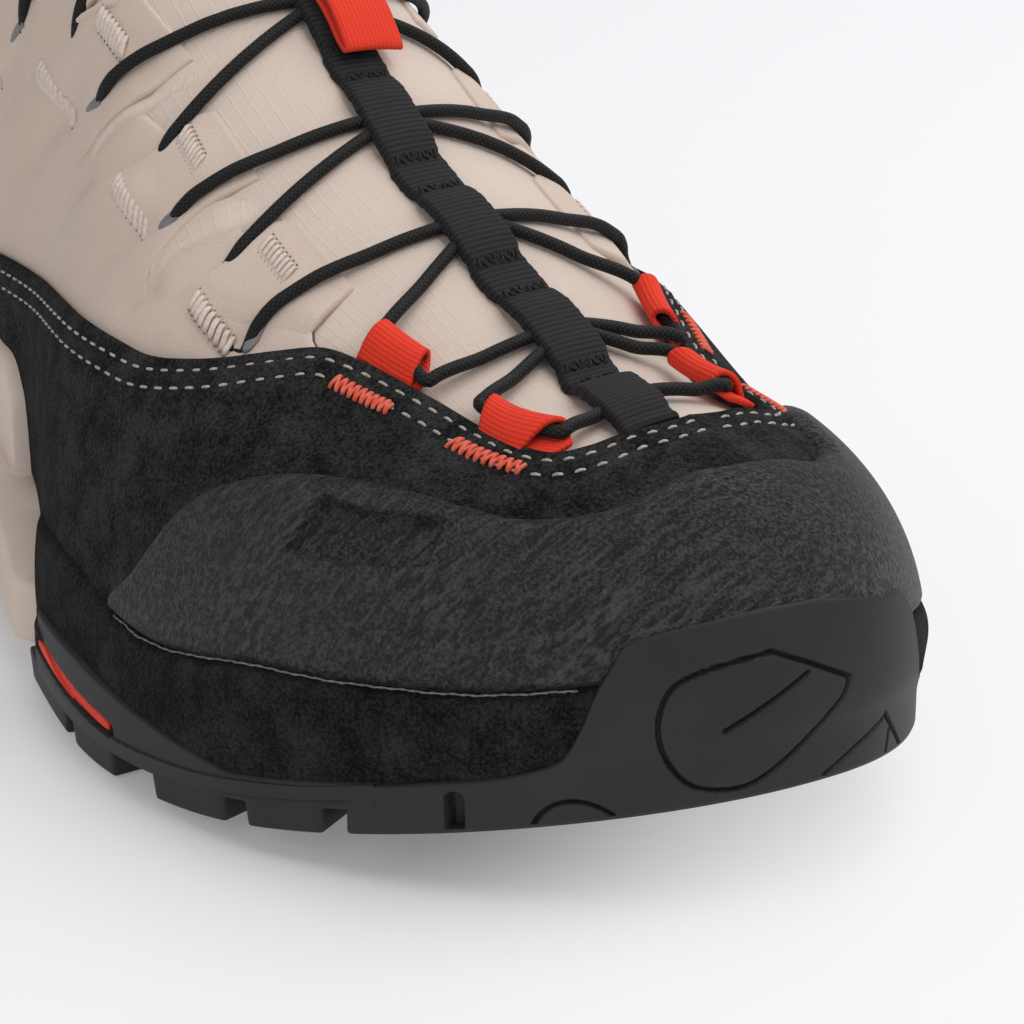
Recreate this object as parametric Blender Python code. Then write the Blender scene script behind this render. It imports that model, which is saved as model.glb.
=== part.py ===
"""Right hiking shoe, low cut: lugged outsole with toe bumper, midsole, insole, hollow upper with
suede, toe cap and rand over it, eyestay fingers, lace loops, tongue, webbing strap and lace.

Metres, +Z up. The toe points to -Y, the outer (lateral) side to -X, the floor is z = 0.

Two numbers place a point on the upper. Turn goes round the foot: 0 at the middle of the heel,
-1 to 0 on the lateral side, 0 to 1 on the medial side, and -1 and 1 both at the tip of the toe.
Climb goes from 0 at the sole to 1 at the spine, the line along the top of the foot.
Station is the distance from the back of the heel.
"""
import bmesh
import bpy
import numpy as np

# Driving sizes
LENGTH = 0.300
TOE_SHIFT = 0.008
HEEL_ROUND = 0.036
TOE_ROUND = 0.062
TOE_POWER = 2.15
SPRING_RISE = 0.0162
SPRING_START = 0.205
SPRING_POWER = 1.9

# Half widths of the sole, from its axis
SOLE_EDGE = {
    "station": (0.000, 0.040, 0.080, 0.115, 0.150, 0.185, 0.215, 0.245, 0.275, 0.300),
    "lateral": (0.0395, 0.0405, 0.0400, 0.0390, 0.0425, 0.0513, 0.0564, 0.0554, 0.0488, 0.0405),
    "medial": (0.0375, 0.0385, 0.0370, 0.0345, 0.0360, 0.0430, 0.0495, 0.0500, 0.0442, 0.0365),
}

# Upper: where it stands on the sole, its spine, and how square its sections are
FRONT_INSET = 0.0032
SIDE_INSET = 0.0010
REAR_INSET = 0.0040
REAR_INSET_STATIONS = (0.145, 0.195)
RIDGE_SHIFT = 0.008
RIDGE_STATIONS = (0.16, 0.26)
TOE_CENTRE = 0.250
HEEL_CENTRE = 0.042
CENTRE_SOFTNESS = 0.007
FEATHER = {
    "station": (0.000, 0.060, 0.110, 0.150, 0.180, 0.205, 0.300),
    "height": (0.0330, 0.0310, 0.0280, 0.0230, 0.0150, 0.0090, 0.0090),
}
SPINE = {
    "station": (0.040, 0.090, 0.125, 0.150, 0.170, 0.190, 0.207, 0.225, 0.241, 0.255, 0.270),
    "height": (0.135, 0.140, 0.137, 0.122, 0.106, 0.0905, 0.0795, 0.0705, 0.0615, 0.0555, 0.0500),
}
FULLNESS = {
    "station": (0.000, 0.060, 0.110, 0.150, 0.190, 0.225, 0.250, 0.275, 0.300),
    "lateral": (2.30, 2.25, 2.20, 2.10, 2.05, 2.05, 2.20, 2.45, 2.70),
    "medial": (2.30, 2.25, 2.30, 2.60, 2.50, 2.15, 1.90, 2.15, 2.70),
}

# Layers, as offsets from the upper's outer face
UPPER_LAYER = (-0.0020, 0.0)
SUEDE_LAYER = (0.00035, 0.0016)
CAP_LAYER = (0.0026, 0.0037)
RAND_LAYER = (0.0021, 0.0034)
RUBBER_LAYER = (0.00200, 0.0036)
FINGER_LAYER = (0.0006, 0.0016)
LOOP_LAYER = (0.00035, 0.0034)
EDGE_GAP = 0.008

# Edges drawn on the upper, as climb over turn
TOP_EDGE = {
    "turn": (0.00, 0.08, 0.16, 0.24, 0.30, 0.36, 0.40, 0.43, 0.46, 0.49, 0.52, 0.55, 0.58, 0.61,
             0.64, 0.665, 0.69, 0.72, 0.774, 0.81, 0.838, 0.862, 0.893, 0.95, 1.00),
    "climb": (0.36, 0.345, 0.305, 0.275, 0.272, 0.33, 0.40, 0.435, 0.465, 0.505, 0.535, 0.57,
              0.635, 0.655, 0.665, 0.680, 0.715, 0.752, 0.750, 0.724, 0.716, 0.740, 0.780, 0.812, 0.830),
}
SUEDE_EDGE = {
    "turn": (0.00, 0.295, 0.436, 0.473, 0.50, 0.56, 0.594, 0.615, 0.63, 0.648, 0.662, 0.673, 0.685,
             0.704, 0.72, 0.774, 0.81, 0.838, 0.862, 0.893, 0.95, 1.00),
    "climb": (0.104, 0.107, 0.124, 0.158, 0.193, 0.318, 0.393, 0.439, 0.484, 0.545, 0.604, 0.655, 0.685,
              0.717, 0.733, 0.730, 0.702, 0.692, 0.717, 0.762, 0.797, 0.815),
}
CAP_REAR_LATERAL = -0.640
CAP_REAR_MEDIAL = 0.660
CAP_TOP_LATERAL = {
    "turn": (0.640, 0.653, 0.667, 0.686, 0.707, 0.736, 0.772, 0.804, 0.828, 0.850, 0.875, 0.905, 0.940, 1.00),
    "climb": (0.170, 0.233, 0.348, 0.436, 0.499, 0.539, 0.541, 0.516, 0.496, 0.496, 0.509, 0.546, 0.602, 0.614),
}
CAP_TOP_MEDIAL = {
    "turn": (0.660, 0.675, 0.690, 0.715, 0.750, 0.790, 0.831, 0.856, 0.880, 0.903, 0.922, 0.960, 1.00),
    "climb": (0.170, 0.250, 0.350, 0.470, 0.570, 0.620, 0.640, 0.612, 0.560, 0.551, 0.556, 0.595, 0.614),
}
RAND_TOP = {
    "turn": (0.00, 0.30, 0.43, 0.50, 0.557, 0.605, 0.640, 0.668, 0.729, 0.774, 0.828, 0.861, 0.900, 1.00),
    "climb": (0.050, 0.050, 0.055, 0.065, 0.085, 0.130, 0.146, 0.148, 0.178, 0.155, 0.120, 0.113, 0.113, 0.113),
}
BUMPER_TOP_LATERAL = {
    "turn": (0.862, 0.872, 0.880, 0.889, 0.907, 0.927, 0.962, 1.00),
    "climb": (0.010, 0.060, 0.128, 0.175, 0.201, 0.200, 0.212, 0.208),
}
BUMPER_TOP_MEDIAL = {
    "turn": (0.885, 0.893, 0.903, 0.914, 0.948, 1.00),
    "climb": (0.010, 0.070, 0.128, 0.153, 0.178, 0.208),
}

# Raised outsole panel at the outer ball: its top over the floor
PANEL_TOP = {
    "station": (0.186, 0.200, 0.212, 0.222, 0.228),
    "height": (0.0150, 0.0142, 0.0129, 0.0119, 0.0115),
}

# Sole
LUG_DEPTH = 0.0040
LUG_SINK = 0.0012
LUG_REACH = 0.0150
LUG_DRAFT = 0.0008
PLATE_BASE = 0.0085
ARCH_RISE = 0.0032
ARCH_STATIONS = (0.078, 0.108, 0.138, 0.166)
HEEL_BEVEL_RISE = 0.0030
HEEL_BEVEL_LENGTH = 0.016
PLATE_BEVEL = 0.3
MEET_GAP = 0.00035
EDGE_LUGS = {
    "start": (0.015, 0.100, 0.180, 0.255, 0.322, 0.500, 0.562, 0.619, 0.679, 0.730, 0.771, 0.820, 0.892),
    "end": (0.087, 0.166, 0.242, 0.310, 0.368, 0.553, 0.610, 0.652, 0.719, 0.763, 0.811, 0.878, 0.982),
}
LUG_STRAIGHT = (0.25, 0.74)
CENTRE_LUGS = {
    "station": (0.040, 0.068, 0.172, 0.199, 0.226, 0.252),
    "spread": (0.0100, 0.0110, 0.0125, 0.0175, 0.0190, 0.0150),
    "length": (0.018, 0.018, 0.017, 0.018, 0.018, 0.015),
    "width": (0.012, 0.014, 0.015, 0.018, 0.020, 0.016),
}
CENTRE_LUG_ANGLE = 0.35
BED = {
    "station": (0.000, 0.080, 0.150, 0.200, 0.250, 0.300),
    "height": (0.0260, 0.0255, 0.0215, 0.0175, 0.0165, 0.0160),
}
CORE_INSET = 0.0029
INSOLE_INSET = 0.0046
INSOLE_THICK = 0.0040
MIDSOLE_WALL_INSET = 0.0004
MIDSOLE_END_LATERAL = (0.175, 0.1855)
MIDSOLE_END_MEDIAL = (0.178, 0.200)

# Tongue, strap and lace
TONGUE = {
    "station": (0.118, 0.135, 0.160, 0.190, 0.215, 0.235, 0.255, 0.268, 0.276),
    "lateral": (0.0258, 0.0272, 0.0300, 0.0330, 0.0325, 0.0285, 0.0250, 0.0195, 0.0110),
    "medial": (0.0240, 0.0248, 0.0258, 0.0280, 0.0295, 0.0278, 0.0250, 0.0195, 0.0110),
}
TONGUE_UNDER = -0.0032
TONGUE_OPEN = -0.0012
TONGUE_THICK = 0.0023
STRAP_HALF = 0.0060
STRAP_ENDS = (0.172, 0.2655)
STRAP_LOW = -0.0002
STRAP_THICK = 0.0015
STRAP_LIFT = 0.0030
STRAP_LIFT_REACH = 0.0085
LACE_RADIUS = 0.00115
LACE_SIDES = 6
LACE_TURNED = 0.37
LACE_STEPS = 5
LACE_LOW = 0.00075
LACE_HIGH = 0.0020
KEEPERS = (0.2555, 0.2405, 0.2205, 0.2000, 0.1805, 0.1480)

# Lace stations from the toe up: the patch on the upper that holds the lace, and where the lace
# leaves it in front and behind
HOLDERS = {
    "kind": ("loop", "loop", "finger", "finger", "finger", "finger"),
    "rear_turn": (0.750, 0.684, 0.621, 0.573, 0.507, 0.440),
    "front_turn": (0.826, 0.711, 0.650, 0.595, 0.536, 0.466),
    "low_climb": (0.742, 0.700, 0.0, 0.0, 0.0, 0.0),
    "high_climb": (0.830, 0.780, 0.0, 0.0, 0.0, 0.0),
    "rear_lace_turn": (0.738, 0.677, 0.614, 0.566, 0.499, 0.432),
    "front_lace_turn": (0.838, 0.718, 0.657, 0.602, 0.544, 0.474),
    "rear_lace_climb": (0.792, 0.752, 0.650, 0.630, 0.515, 0.430),
    "front_lace_climb": (0.775, 0.752, 0.640, 0.600, 0.545, 0.460),
}
PULL_TAB_STATIONS = (0.1850, 0.1955)
PULL_TAB_HALF = 0.0052
PULL_TAB_THICK = 0.0030

# Sampling of the ring round the foot
HEEL_TURNS = np.linspace(0.0, 0.24, 7)
WAIST_TURNS = np.linspace(0.24, 0.60, 9)
TOE_TURNS = np.linspace(0.60, 1.0, 15)
HALF_TURNS = np.concatenate([HEEL_TURNS[:-1], WAIST_TURNS[:-1], TOE_TURNS])
SUEDE_ROWS = 5
BARE_ROWS = 2
CAP_ROWS = 4
RAND_ROWS = 2
FINGER_ROWS = 6
TONGUE_COLUMNS = 11
TINY_TURN = 1e-4

MATERIALS = {
    "outsole": ("#1E1D20", 0.55),
    "midsole": ("#C9BBAC", 0.70),
    "insole": ("#3A3A3C", 0.90),
    "upper": ("#B7A79A", 0.80),
    "vamp_suede": ("#26252A", 0.95),
    "toe_cap": ("#3B3C40", 0.75),
    "rand": ("#26262B", 0.92),
    "finger": ("#B9AA9D", 0.60),
    "tongue": ("#BFB0A3", 0.75),
    "strap": ("#19191B", 0.85),
    "loop": ("#D8371F", 0.70),
    "pull_tab": ("#D8371F", 0.70),
    "lace": ("#1A191B", 0.80),
}


def curve_through(places, values):
    """A smooth curve through the rows of a table, with averaged slopes."""
    places = np.asarray(places, float)
    values = np.asarray(values, float)
    steps = np.diff(places)
    rises = np.diff(values) / steps
    slopes = np.empty_like(values)
    slopes[1:-1] = (rises[:-1] * steps[1:] + rises[1:] * steps[:-1]) / (steps[1:] + steps[:-1])
    slopes[0] = rises[0]
    slopes[-1] = rises[-1]

    def at(place):
        place = np.clip(place, places[0], places[-1])
        k = np.clip(np.searchsorted(places, place) - 1, 0, len(places) - 2)
        t = (place - places[k]) / steps[k]
        rest = 1 - t
        return (rest * rest * (1 + 2 * t) * values[k] + t * t * (3 - 2 * t) * values[k + 1]
                + steps[k] * t * rest * (rest * slopes[k] - t * slopes[k + 1]))
    return at


def table_curve(table, place, value):
    return curve_through(table[place], table[value])


def smooth_step(low, high, x):
    t = np.clip((x - low) / (high - low), 0, 1)
    return t * t * (3 - 2 * t)


lateral_half = table_curve(SOLE_EDGE, "station", "lateral")
medial_half = table_curve(SOLE_EDGE, "station", "medial")
feather_base = table_curve(FEATHER, "station", "height")
spine_height = table_curve(SPINE, "station", "height")
lateral_fullness = table_curve(FULLNESS, "station", "lateral")
medial_fullness = table_curve(FULLNESS, "station", "medial")
bed_base = table_curve(BED, "station", "height")
top_edge = table_curve(TOP_EDGE, "turn", "climb")
suede_edge = table_curve(SUEDE_EDGE, "turn", "climb")
cap_top_lateral = table_curve(CAP_TOP_LATERAL, "turn", "climb")
cap_top_medial = table_curve(CAP_TOP_MEDIAL, "turn", "climb")
rand_top = table_curve(RAND_TOP, "turn", "climb")
bumper_top_lateral = table_curve(BUMPER_TOP_LATERAL, "turn", "climb")
bumper_top_medial = table_curve(BUMPER_TOP_MEDIAL, "turn", "climb")
panel_top = table_curve(PANEL_TOP, "station", "height")
tongue_lateral = table_curve(TONGUE, "station", "lateral")
tongue_medial = table_curve(TONGUE, "station", "medial")


def station_of(turn):
    return LENGTH * (1 - np.cos(np.pi * np.abs(turn))) / 2


def turn_of(station):
    return np.arccos(1 - 2 * np.clip(station, 0, LENGTH) / LENGTH) / np.pi


def toe_spring(station):
    return SPRING_RISE * np.clip((station - SPRING_START) / (LENGTH - SPRING_START), 0, 1.2) ** SPRING_POWER


def axis_shift(station):
    return TOE_SHIFT * smooth_step(0.19, LENGTH, station)


def sole_edge(turn, inset=0.0):
    """Plan point (x, station) of the sole's edge, moved inward by inset."""
    turn = np.asarray(turn, float)
    station = station_of(turn)
    heel = np.clip(1 - station / HEEL_ROUND, 0, 1)
    toe = np.clip((station - (LENGTH - TOE_ROUND)) / TOE_ROUND, 0, 1)
    rounding = np.sqrt(1 - heel ** 2) * (1 - toe ** TOE_POWER) ** (1 / TOE_POWER)
    half = np.where(turn < 0, lateral_half(station), medial_half(station))
    x = axis_shift(station) + np.sign(turn) * half * rounding
    if not np.any(inset):
        return x, station
    x0, station0 = sole_edge(np.clip(turn - TINY_TURN, -1, 1))
    x1, station1 = sole_edge(np.clip(turn + TINY_TURN, -1, 1))
    along_x = x1 - x0
    along_station = station1 - station0
    span = np.hypot(along_x, along_station)
    return x - inset * along_station / span, station + inset * along_x / span


def form_inset(turn):
    """How far inside the sole's edge the upper stands."""
    rear = 1 - smooth_step(*REAR_INSET_STATIONS, station_of(turn))
    return FRONT_INSET - SIDE_INSET * np.sin(np.pi * turn) + REAR_INSET * rear


def feather(station):
    """Height of the line where the upper meets the sole."""
    return feather_base(station) + toe_spring(station)


def centre_station(station):
    """Station of the spine point: it stops short of the heel and of the toe, where sections fan out."""
    past_toe = np.clip((station - TOE_CENTRE) / CENTRE_SOFTNESS, -40, 40)
    past_heel = np.clip((HEEL_CENTRE - station) / CENTRE_SOFTNESS, -40, 40)
    return station + CENTRE_SOFTNESS * (np.log1p(np.exp(past_heel)) - np.log1p(np.exp(past_toe)))


def ridge(station):
    return RIDGE_SHIFT * smooth_step(*RIDGE_STATIONS, station)


def section_ends(turn):
    """Foot (x, station, z), spine (x, station, z) and fullness of the section at a turn."""
    station = station_of(turn)
    foot_x, foot_station = sole_edge(turn, form_inset(turn))
    spine_station = centre_station(station)
    fullness = np.where(turn < 0, lateral_fullness(station), medial_fullness(station))
    foot = np.stack([foot_x, foot_station, feather(station)], -1)
    spine = np.stack([ridge(spine_station), spine_station, spine_height(spine_station)], -1)
    return foot, spine, fullness


def form(turn, climb, offset=0.0):
    """Points of the upper's outer face, moved outward by offset."""
    turn, climb, offset = np.broadcast_arrays(np.asarray(turn, float), climb, offset)
    foot, spine, fullness = section_ends(turn)
    angle = climb * np.pi / 2
    inward = 1 - np.clip(np.cos(angle), 0, 1) ** (2 / fullness)
    upward = np.clip(np.sin(angle), 0, 1) ** (2 / fullness)
    x = foot[..., 0] + (spine[..., 0] - foot[..., 0]) * inward
    station = foot[..., 1] + (spine[..., 1] - foot[..., 1]) * inward
    z = foot[..., 2] + (spine[..., 2] - foot[..., 2]) * upward
    points = np.stack([x, LENGTH / 2 - station, z], -1)
    if not np.any(offset):
        return points
    round_step = (form(np.clip(turn + TINY_TURN, -1, 1), climb)
                  - form(np.clip(turn - TINY_TURN, -1, 1), climb))
    climb_step = (form(turn, np.clip(climb + TINY_TURN, 0, 1))
                  - form(turn, np.clip(climb - TINY_TURN, 0, 1)))
    normal = np.cross(climb_step, round_step)
    normal /= np.linalg.norm(normal, axis=-1, keepdims=True)
    return points + normal * offset[..., None]


def climb_at_height(turn, height):
    foot, spine, fullness = section_ends(np.asarray(turn, float))
    share = np.clip((height - foot[..., 2]) / (spine[..., 2] - foot[..., 2]), 0, 1)
    return np.arcsin(share ** (fullness / 2)) * 2 / np.pi


MIDSOLE_END_TURNS = turn_of(np.array([0.168, 0.175, 0.179, 0.1825, 0.1855, 0.193, 0.200]))
SOLE_TURNS = np.concatenate([HEEL_TURNS, WAIST_TURNS[2:-2:2], MIDSOLE_END_TURNS, TOE_TURNS[1:]])
SEARCH_TURNS = np.concatenate([np.linspace(-1.0, -0.30, 1400), np.linspace(0.30, 1.0, 1400)])
SEARCH_FOOT, SEARCH_SPINE, SEARCH_FULLNESS = section_ends(SEARCH_TURNS)


def place_on_form(x, station):
    """Turn and climb of the form's point over a plan place. In plan each section is a straight line."""
    along = SEARCH_SPINE[:, :2] - SEARCH_FOOT[:, :2]
    away = np.array([x, station]) - SEARCH_FOOT[:, :2]
    length = np.linalg.norm(along, axis=1)
    share = (along * away).sum(1) / length ** 2
    aside = np.abs(along[:, 0] * away[:, 1] - along[:, 1] * away[:, 0]) / length
    miss = aside + np.maximum(0, share - 1) * length + np.maximum(0, -share) * length
    k = int(np.argmin(miss))
    inward = np.clip(share[k], 0, 1)
    climb = np.arccos((1 - inward) ** (SEARCH_FULLNESS[k] / 2)) * 2 / np.pi
    return SEARCH_TURNS[k], climb


def crown_height(station):
    """Height of the form along its ridge, down over the toe too."""
    toe_line = form(1.0, np.linspace(0.999, 0.3, 60))
    stations = np.concatenate([np.linspace(0.10, 0.244, 73), LENGTH / 2 - toe_line[:, 1]])
    heights = np.concatenate([spine_height(stations[:73]), toe_line[:, 2]])
    return np.interp(station, stations, heights)


def crown(x, station, offset):
    """A point near the ridge, offset square to the ridge's slope."""
    slope = (crown_height(station + 0.002) - crown_height(station - 0.002)) / 0.004
    turned = np.hypot(1, slope)
    fall = 11.0 * (x - ridge(station)) ** 2
    z = crown_height(station) - fall + offset / turned
    return np.array([x, LENGTH / 2 - (station - offset * slope / turned), z])


def hex_to_linear(code):
    parts = [int(code[k:k + 2], 16) / 255 for k in (1, 3, 5)]
    return [c / 12.92 if c <= 0.04045 else ((c + 0.055) / 1.055) ** 2.4 for c in parts] + [1.0]


def make_material(name):
    if name in bpy.data.materials:
        return bpy.data.materials[name]
    code, roughness = MATERIALS[name]
    material = bpy.data.materials.new(name)
    material.use_nodes = True
    shader = material.node_tree.nodes["Principled BSDF"]
    shader.inputs["Base Color"].default_value = hex_to_linear(code)
    shader.inputs["Roughness"].default_value = roughness
    shader.inputs["Metallic"].default_value = 0.0
    return material


def add_object(name, vertices, faces, collection, material=None):
    mesh = bpy.data.meshes.new(name)
    mesh.from_pydata([tuple(map(float, v)) for v in vertices], [], faces)
    work = bmesh.new()
    work.from_mesh(mesh)
    bmesh.ops.remove_doubles(work, verts=work.verts, dist=1e-7)
    bmesh.ops.recalc_face_normals(work, faces=work.faces)
    work.to_mesh(mesh)
    work.free()
    piece = bpy.data.objects.new(name, mesh)
    collection.objects.link(piece)
    if material:
        mesh.materials.append(make_material(material))
    return piece


def shell_mesh(outer, inner, closed):
    """Vertices and faces of a sheet between two grids of points [column, row]."""
    columns, rows = outer.shape[:2]
    vertices = np.concatenate([outer.reshape(-1, 3), inner.reshape(-1, 3)])
    under = columns * rows

    def at(column, row):
        return (column % columns) * rows + row

    faces = []
    spans = range(columns if closed else columns - 1)
    for i in spans:
        for j in range(rows - 1):
            a, b, c, d = at(i, j), at(i + 1, j), at(i + 1, j + 1), at(i, j + 1)
            faces += [(a, b, c), (a, c, d)]
            faces += [(under + c, under + b, under + a), (under + d, under + c, under + a)]
        for j in (0, rows - 1):
            faces.append((at(i, j), under + at(i, j), under + at(i + 1, j), at(i + 1, j)))
    if not closed:
        for i in (0, columns - 1):
            for j in range(rows - 1):
                faces.append((at(i, j), at(i, j + 1), under + at(i, j + 1), under + at(i, j)))
    return vertices, faces


def patch_grids(turns, low, high, rows, layer):
    """Outer and inner grids of a layer on the upper, between two climbs at each turn."""
    share = np.linspace(0, 1, rows + 1)
    climbs = np.asarray(low)[:, None] + (np.asarray(high) - np.asarray(low))[:, None] * share
    turns = np.repeat(np.asarray(turns)[:, None], rows + 1, 1)
    return form(turns, climbs, layer[1]), form(turns, climbs, layer[0])


def ring_turns():
    return np.concatenate([-HALF_TURNS[::-1], HALF_TURNS[1:-1]])


def slab_mesh(half_turns, profile):
    """A closed slab: profile(turn) gives (inset, z) rows from the bottom's edge to the top's edge."""
    ring = np.concatenate([-half_turns, half_turns[-2:0:-1]])
    count = len(ring)
    rows = profile(ring)
    vertices = []
    for inset, z in rows:
        x, station = sole_edge(ring, inset)
        vertices.append(np.stack([x, LENGTH / 2 - station, z], -1))
    vertices = np.concatenate(vertices)
    faces = []
    for r in range(len(rows) - 1):
        for k in range(count):
            n = (k + 1) % count
            faces.append((r * count + k, r * count + n, (r + 1) * count + n, (r + 1) * count + k))
    last = (len(rows) - 1) * count
    half = count // 2
    for k in range(half):
        corners = [k, k + 1, (count - k - 1) % count, (count - k) % count]
        corners = list(dict.fromkeys(corners))
        faces.append(tuple(corners))
        faces.append(tuple(last + c for c in reversed(corners)))
    return vertices, faces


def tube_mesh(path, radius, sides, turned=0.0):
    """A closed round cord along a path of points, its facets turned about the path."""
    path = np.asarray(path)
    ways = np.gradient(path, axis=0)
    ways /= np.linalg.norm(ways, axis=1, keepdims=True)
    up = np.array([0.0, 0.0, 1.0])
    across = np.cross(ways, up)
    across /= np.linalg.norm(across, axis=1, keepdims=True)
    over = np.cross(across, ways)
    angles = 2 * np.pi * np.arange(sides) / sides + turned
    circle = across[:, None] * np.cos(angles)[:, None] + over[:, None] * np.sin(angles)[:, None]
    vertices = (path[:, None] + radius * circle).reshape(-1, 3)
    faces = [tuple(range(sides)), tuple((len(path) - 1) * sides + k for k in reversed(range(sides)))]
    for i in range(len(path) - 1):
        for k in range(sides):
            n = (k + 1) % sides
            faces.append((i * sides + n, i * sides + k, (i + 1) * sides + k, (i + 1) * sides + n))
    return vertices, faces


def union(piece, cutter, overlapping=False):
    cutter.hide_render = True
    cutter.display_type = "WIRE"
    joined = piece.modifiers.new(cutter.name, "BOOLEAN")
    joined.operation = "UNION"
    joined.solver = "EXACT"
    joined.object = cutter
    joined.use_self = overlapping


def heel_bevel(station):
    return HEEL_BEVEL_RISE * np.clip(1 - station / HEEL_BEVEL_LENGTH, 0, 1) ** 1.5


def arch(station):
    return ARCH_RISE * (smooth_step(*ARCH_STATIONS[:2], station) - smooth_step(*ARCH_STATIONS[2:], station))


def ground(station):
    return toe_spring(station) + heel_bevel(station)


def plate_bottom(station):
    return toe_spring(station) + PLATE_BEVEL * heel_bevel(station) + LUG_DEPTH + arch(station)


def plate_top(station):
    front = smooth_step(0.185, 0.205, station)
    rear_top = PLATE_BASE + arch(station)
    return rear_top * (1 - front) + (feather(station) - MEET_GAP) * front


def bed(station):
    return bed_base(station) + toe_spring(station)


def plate_profile(turn):
    station = station_of(turn)
    return [(0.0016, plate_bottom(station)), (0.0003, plate_bottom(station) + 0.0010),
            (0.0, plate_top(station) - 0.0010), (0.0008, plate_top(station))]


def midsole_profile(turn):
    station = station_of(turn)
    core = form_inset(turn) + CORE_INSET
    lateral_end = smooth_step(*MIDSOLE_END_LATERAL, station)
    medial_end = smooth_step(*MIDSOLE_END_MEDIAL, station)
    ended = np.where(turn < 0, lateral_end, medial_end)
    wall = MIDSOLE_WALL_INSET + (core - MIDSOLE_WALL_INSET) * ended
    bottom = plate_top(station) + MEET_GAP
    rim = np.maximum(feather(station) - 1.5 * MEET_GAP, bottom + 0.0015)
    rim_end = np.maximum(core - 0.0004, wall + 0.0004)
    bed_edge = np.maximum(core, wall + 0.0008)
    return [(wall + 0.0010, bottom), (wall, bottom + 0.0006), (wall - 0.0006 * (1 - ended), (bottom + rim) / 2),
            (wall, rim - 0.0004), (wall + 0.0003, rim), (rim_end, rim), (bed_edge, bed(station))]


def insole_profile(turn):
    station = station_of(turn)
    edge = form_inset(turn) + INSOLE_INSET
    bottom = bed(station) + MEET_GAP
    return [(edge + 0.0008, bottom), (edge, bottom + 0.0008),
            (edge, bottom + INSOLE_THICK - 0.0010), (edge + 0.0012, bottom + INSOLE_THICK)]


def edge_lug(start, end, side):
    """A lug at the sole's edge, flush with it, from the ground up into the plate."""
    columns = 2 if LUG_STRAIGHT[0] < start < LUG_STRAIGHT[1] else 3
    turns = side * np.linspace(start, end, columns)
    insets = np.array([0.0004, LUG_REACH])
    low = []
    high = []
    for turn in turns:
        for inset in insets:
            x, station = sole_edge(turn, inset)
            draft = LUG_DRAFT * (1 if inset > LUG_REACH / 2 else 0.5)
            wide_x, wide_station = sole_edge(turn, inset + (draft if inset > LUG_REACH / 2 else -0.0001))
            level = station_of(turn)
            low.append((x, LENGTH / 2 - station, ground(level)))
            high.append((wide_x, LENGTH / 2 - wide_station, plate_bottom(level) + LUG_SINK))
    return np.array(low).reshape(columns, 2, 3), np.array(high).reshape(columns, 2, 3)


def centre_lug(row, side):
    station = CENTRE_LUGS["station"][row]
    middle_x = axis_shift(station) + (medial_half(station) - lateral_half(station)) / 2
    middle_x += side * CENTRE_LUGS["spread"][row]
    along = CENTRE_LUGS["length"][row] / 2
    across = CENTRE_LUGS["width"][row] / 2
    turned = side * CENTRE_LUG_ANGLE
    corners = []
    for grow in (0.0, LUG_DRAFT):
        for a, b in ((-1, -1), (-1, 1), (1, -1), (1, 1)):
            dx = a * (across + grow) * np.cos(turned) - b * (along + grow) * np.sin(turned)
            ds = a * (across + grow) * np.sin(turned) + b * (along + grow) * np.cos(turned)
            level = plate_bottom(station + ds) + LUG_SINK if grow else ground(station + ds)
            corners.append((middle_x + dx, LENGTH / 2 - station - ds, level))
    corners = np.array(corners)
    return corners[:4].reshape(2, 2, 3), corners[4:].reshape(2, 2, 3)


def joined(meshes):
    vertices = []
    faces = []
    start = 0
    for some_vertices, some_faces in meshes:
        vertices.append(some_vertices)
        faces += [tuple(start + k for k in face) for face in some_faces]
        start += len(some_vertices)
    return np.concatenate(vertices), faces


def sunk(grids, depth):
    """Adds a row under a pair of grids, so that a rubber lip reaches down into the plate."""
    deeper = []
    for grid in grids:
        foot = grid[:, :1].copy()
        foot[..., 2] -= depth
        deeper.append(np.concatenate([foot, grid], 1))
    return deeper


def bumper_top(turn):
    return np.where(turn < 0, bumper_top_lateral(np.abs(turn)), bumper_top_medial(np.abs(turn)))


def bumper_turns():
    lateral = [-t for t in BUMPER_TOP_LATERAL["turn"]]
    medial = [t for t in BUMPER_TOP_MEDIAL["turn"][:-1]]
    return np.array(lateral + [0.975] + medial[::-1])


def build_outsole(parts, cutters):
    outsole = add_object("outsole", *slab_mesh(SOLE_TURNS, plate_profile), parts, "outsole")
    blocks = []
    for start, end in zip(EDGE_LUGS["start"], EDGE_LUGS["end"]):
        for side in (-1, 1):
            blocks.append(shell_mesh(*edge_lug(start, end, side), False))
    for row in range(len(CENTRE_LUGS["station"])):
        for side in (-1, 1):
            blocks.append(shell_mesh(*centre_lug(row, side), False))
    union(outsole, add_object("lug_blocks", *joined(blocks), cutters), True)
    turns = bumper_turns()
    grids = patch_grids(turns, np.zeros(len(turns)), bumper_top(turns), 3, RUBBER_LAYER)
    union(outsole, add_object("bumper_lip", *shell_mesh(*sunk(grids, 0.0020), False), cutters))
    turns = -turn_of(np.linspace(PANEL_TOP["station"][0], PANEL_TOP["station"][-1], 7))
    tops = climb_at_height(turns, panel_top(station_of(turns)))
    grids = patch_grids(turns, np.zeros(len(turns)), tops, 2, RUBBER_LAYER)
    union(outsole, add_object("ball_panel", *shell_mesh(*sunk(grids, 0.0065), False), cutters))


def build_soles(parts, cutters):
    build_outsole(parts, cutters)
    add_object("midsole", *slab_mesh(SOLE_TURNS, midsole_profile), parts, "midsole")
    add_object("insole", *slab_mesh(HALF_TURNS[::2], insole_profile), parts, "insole")


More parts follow.
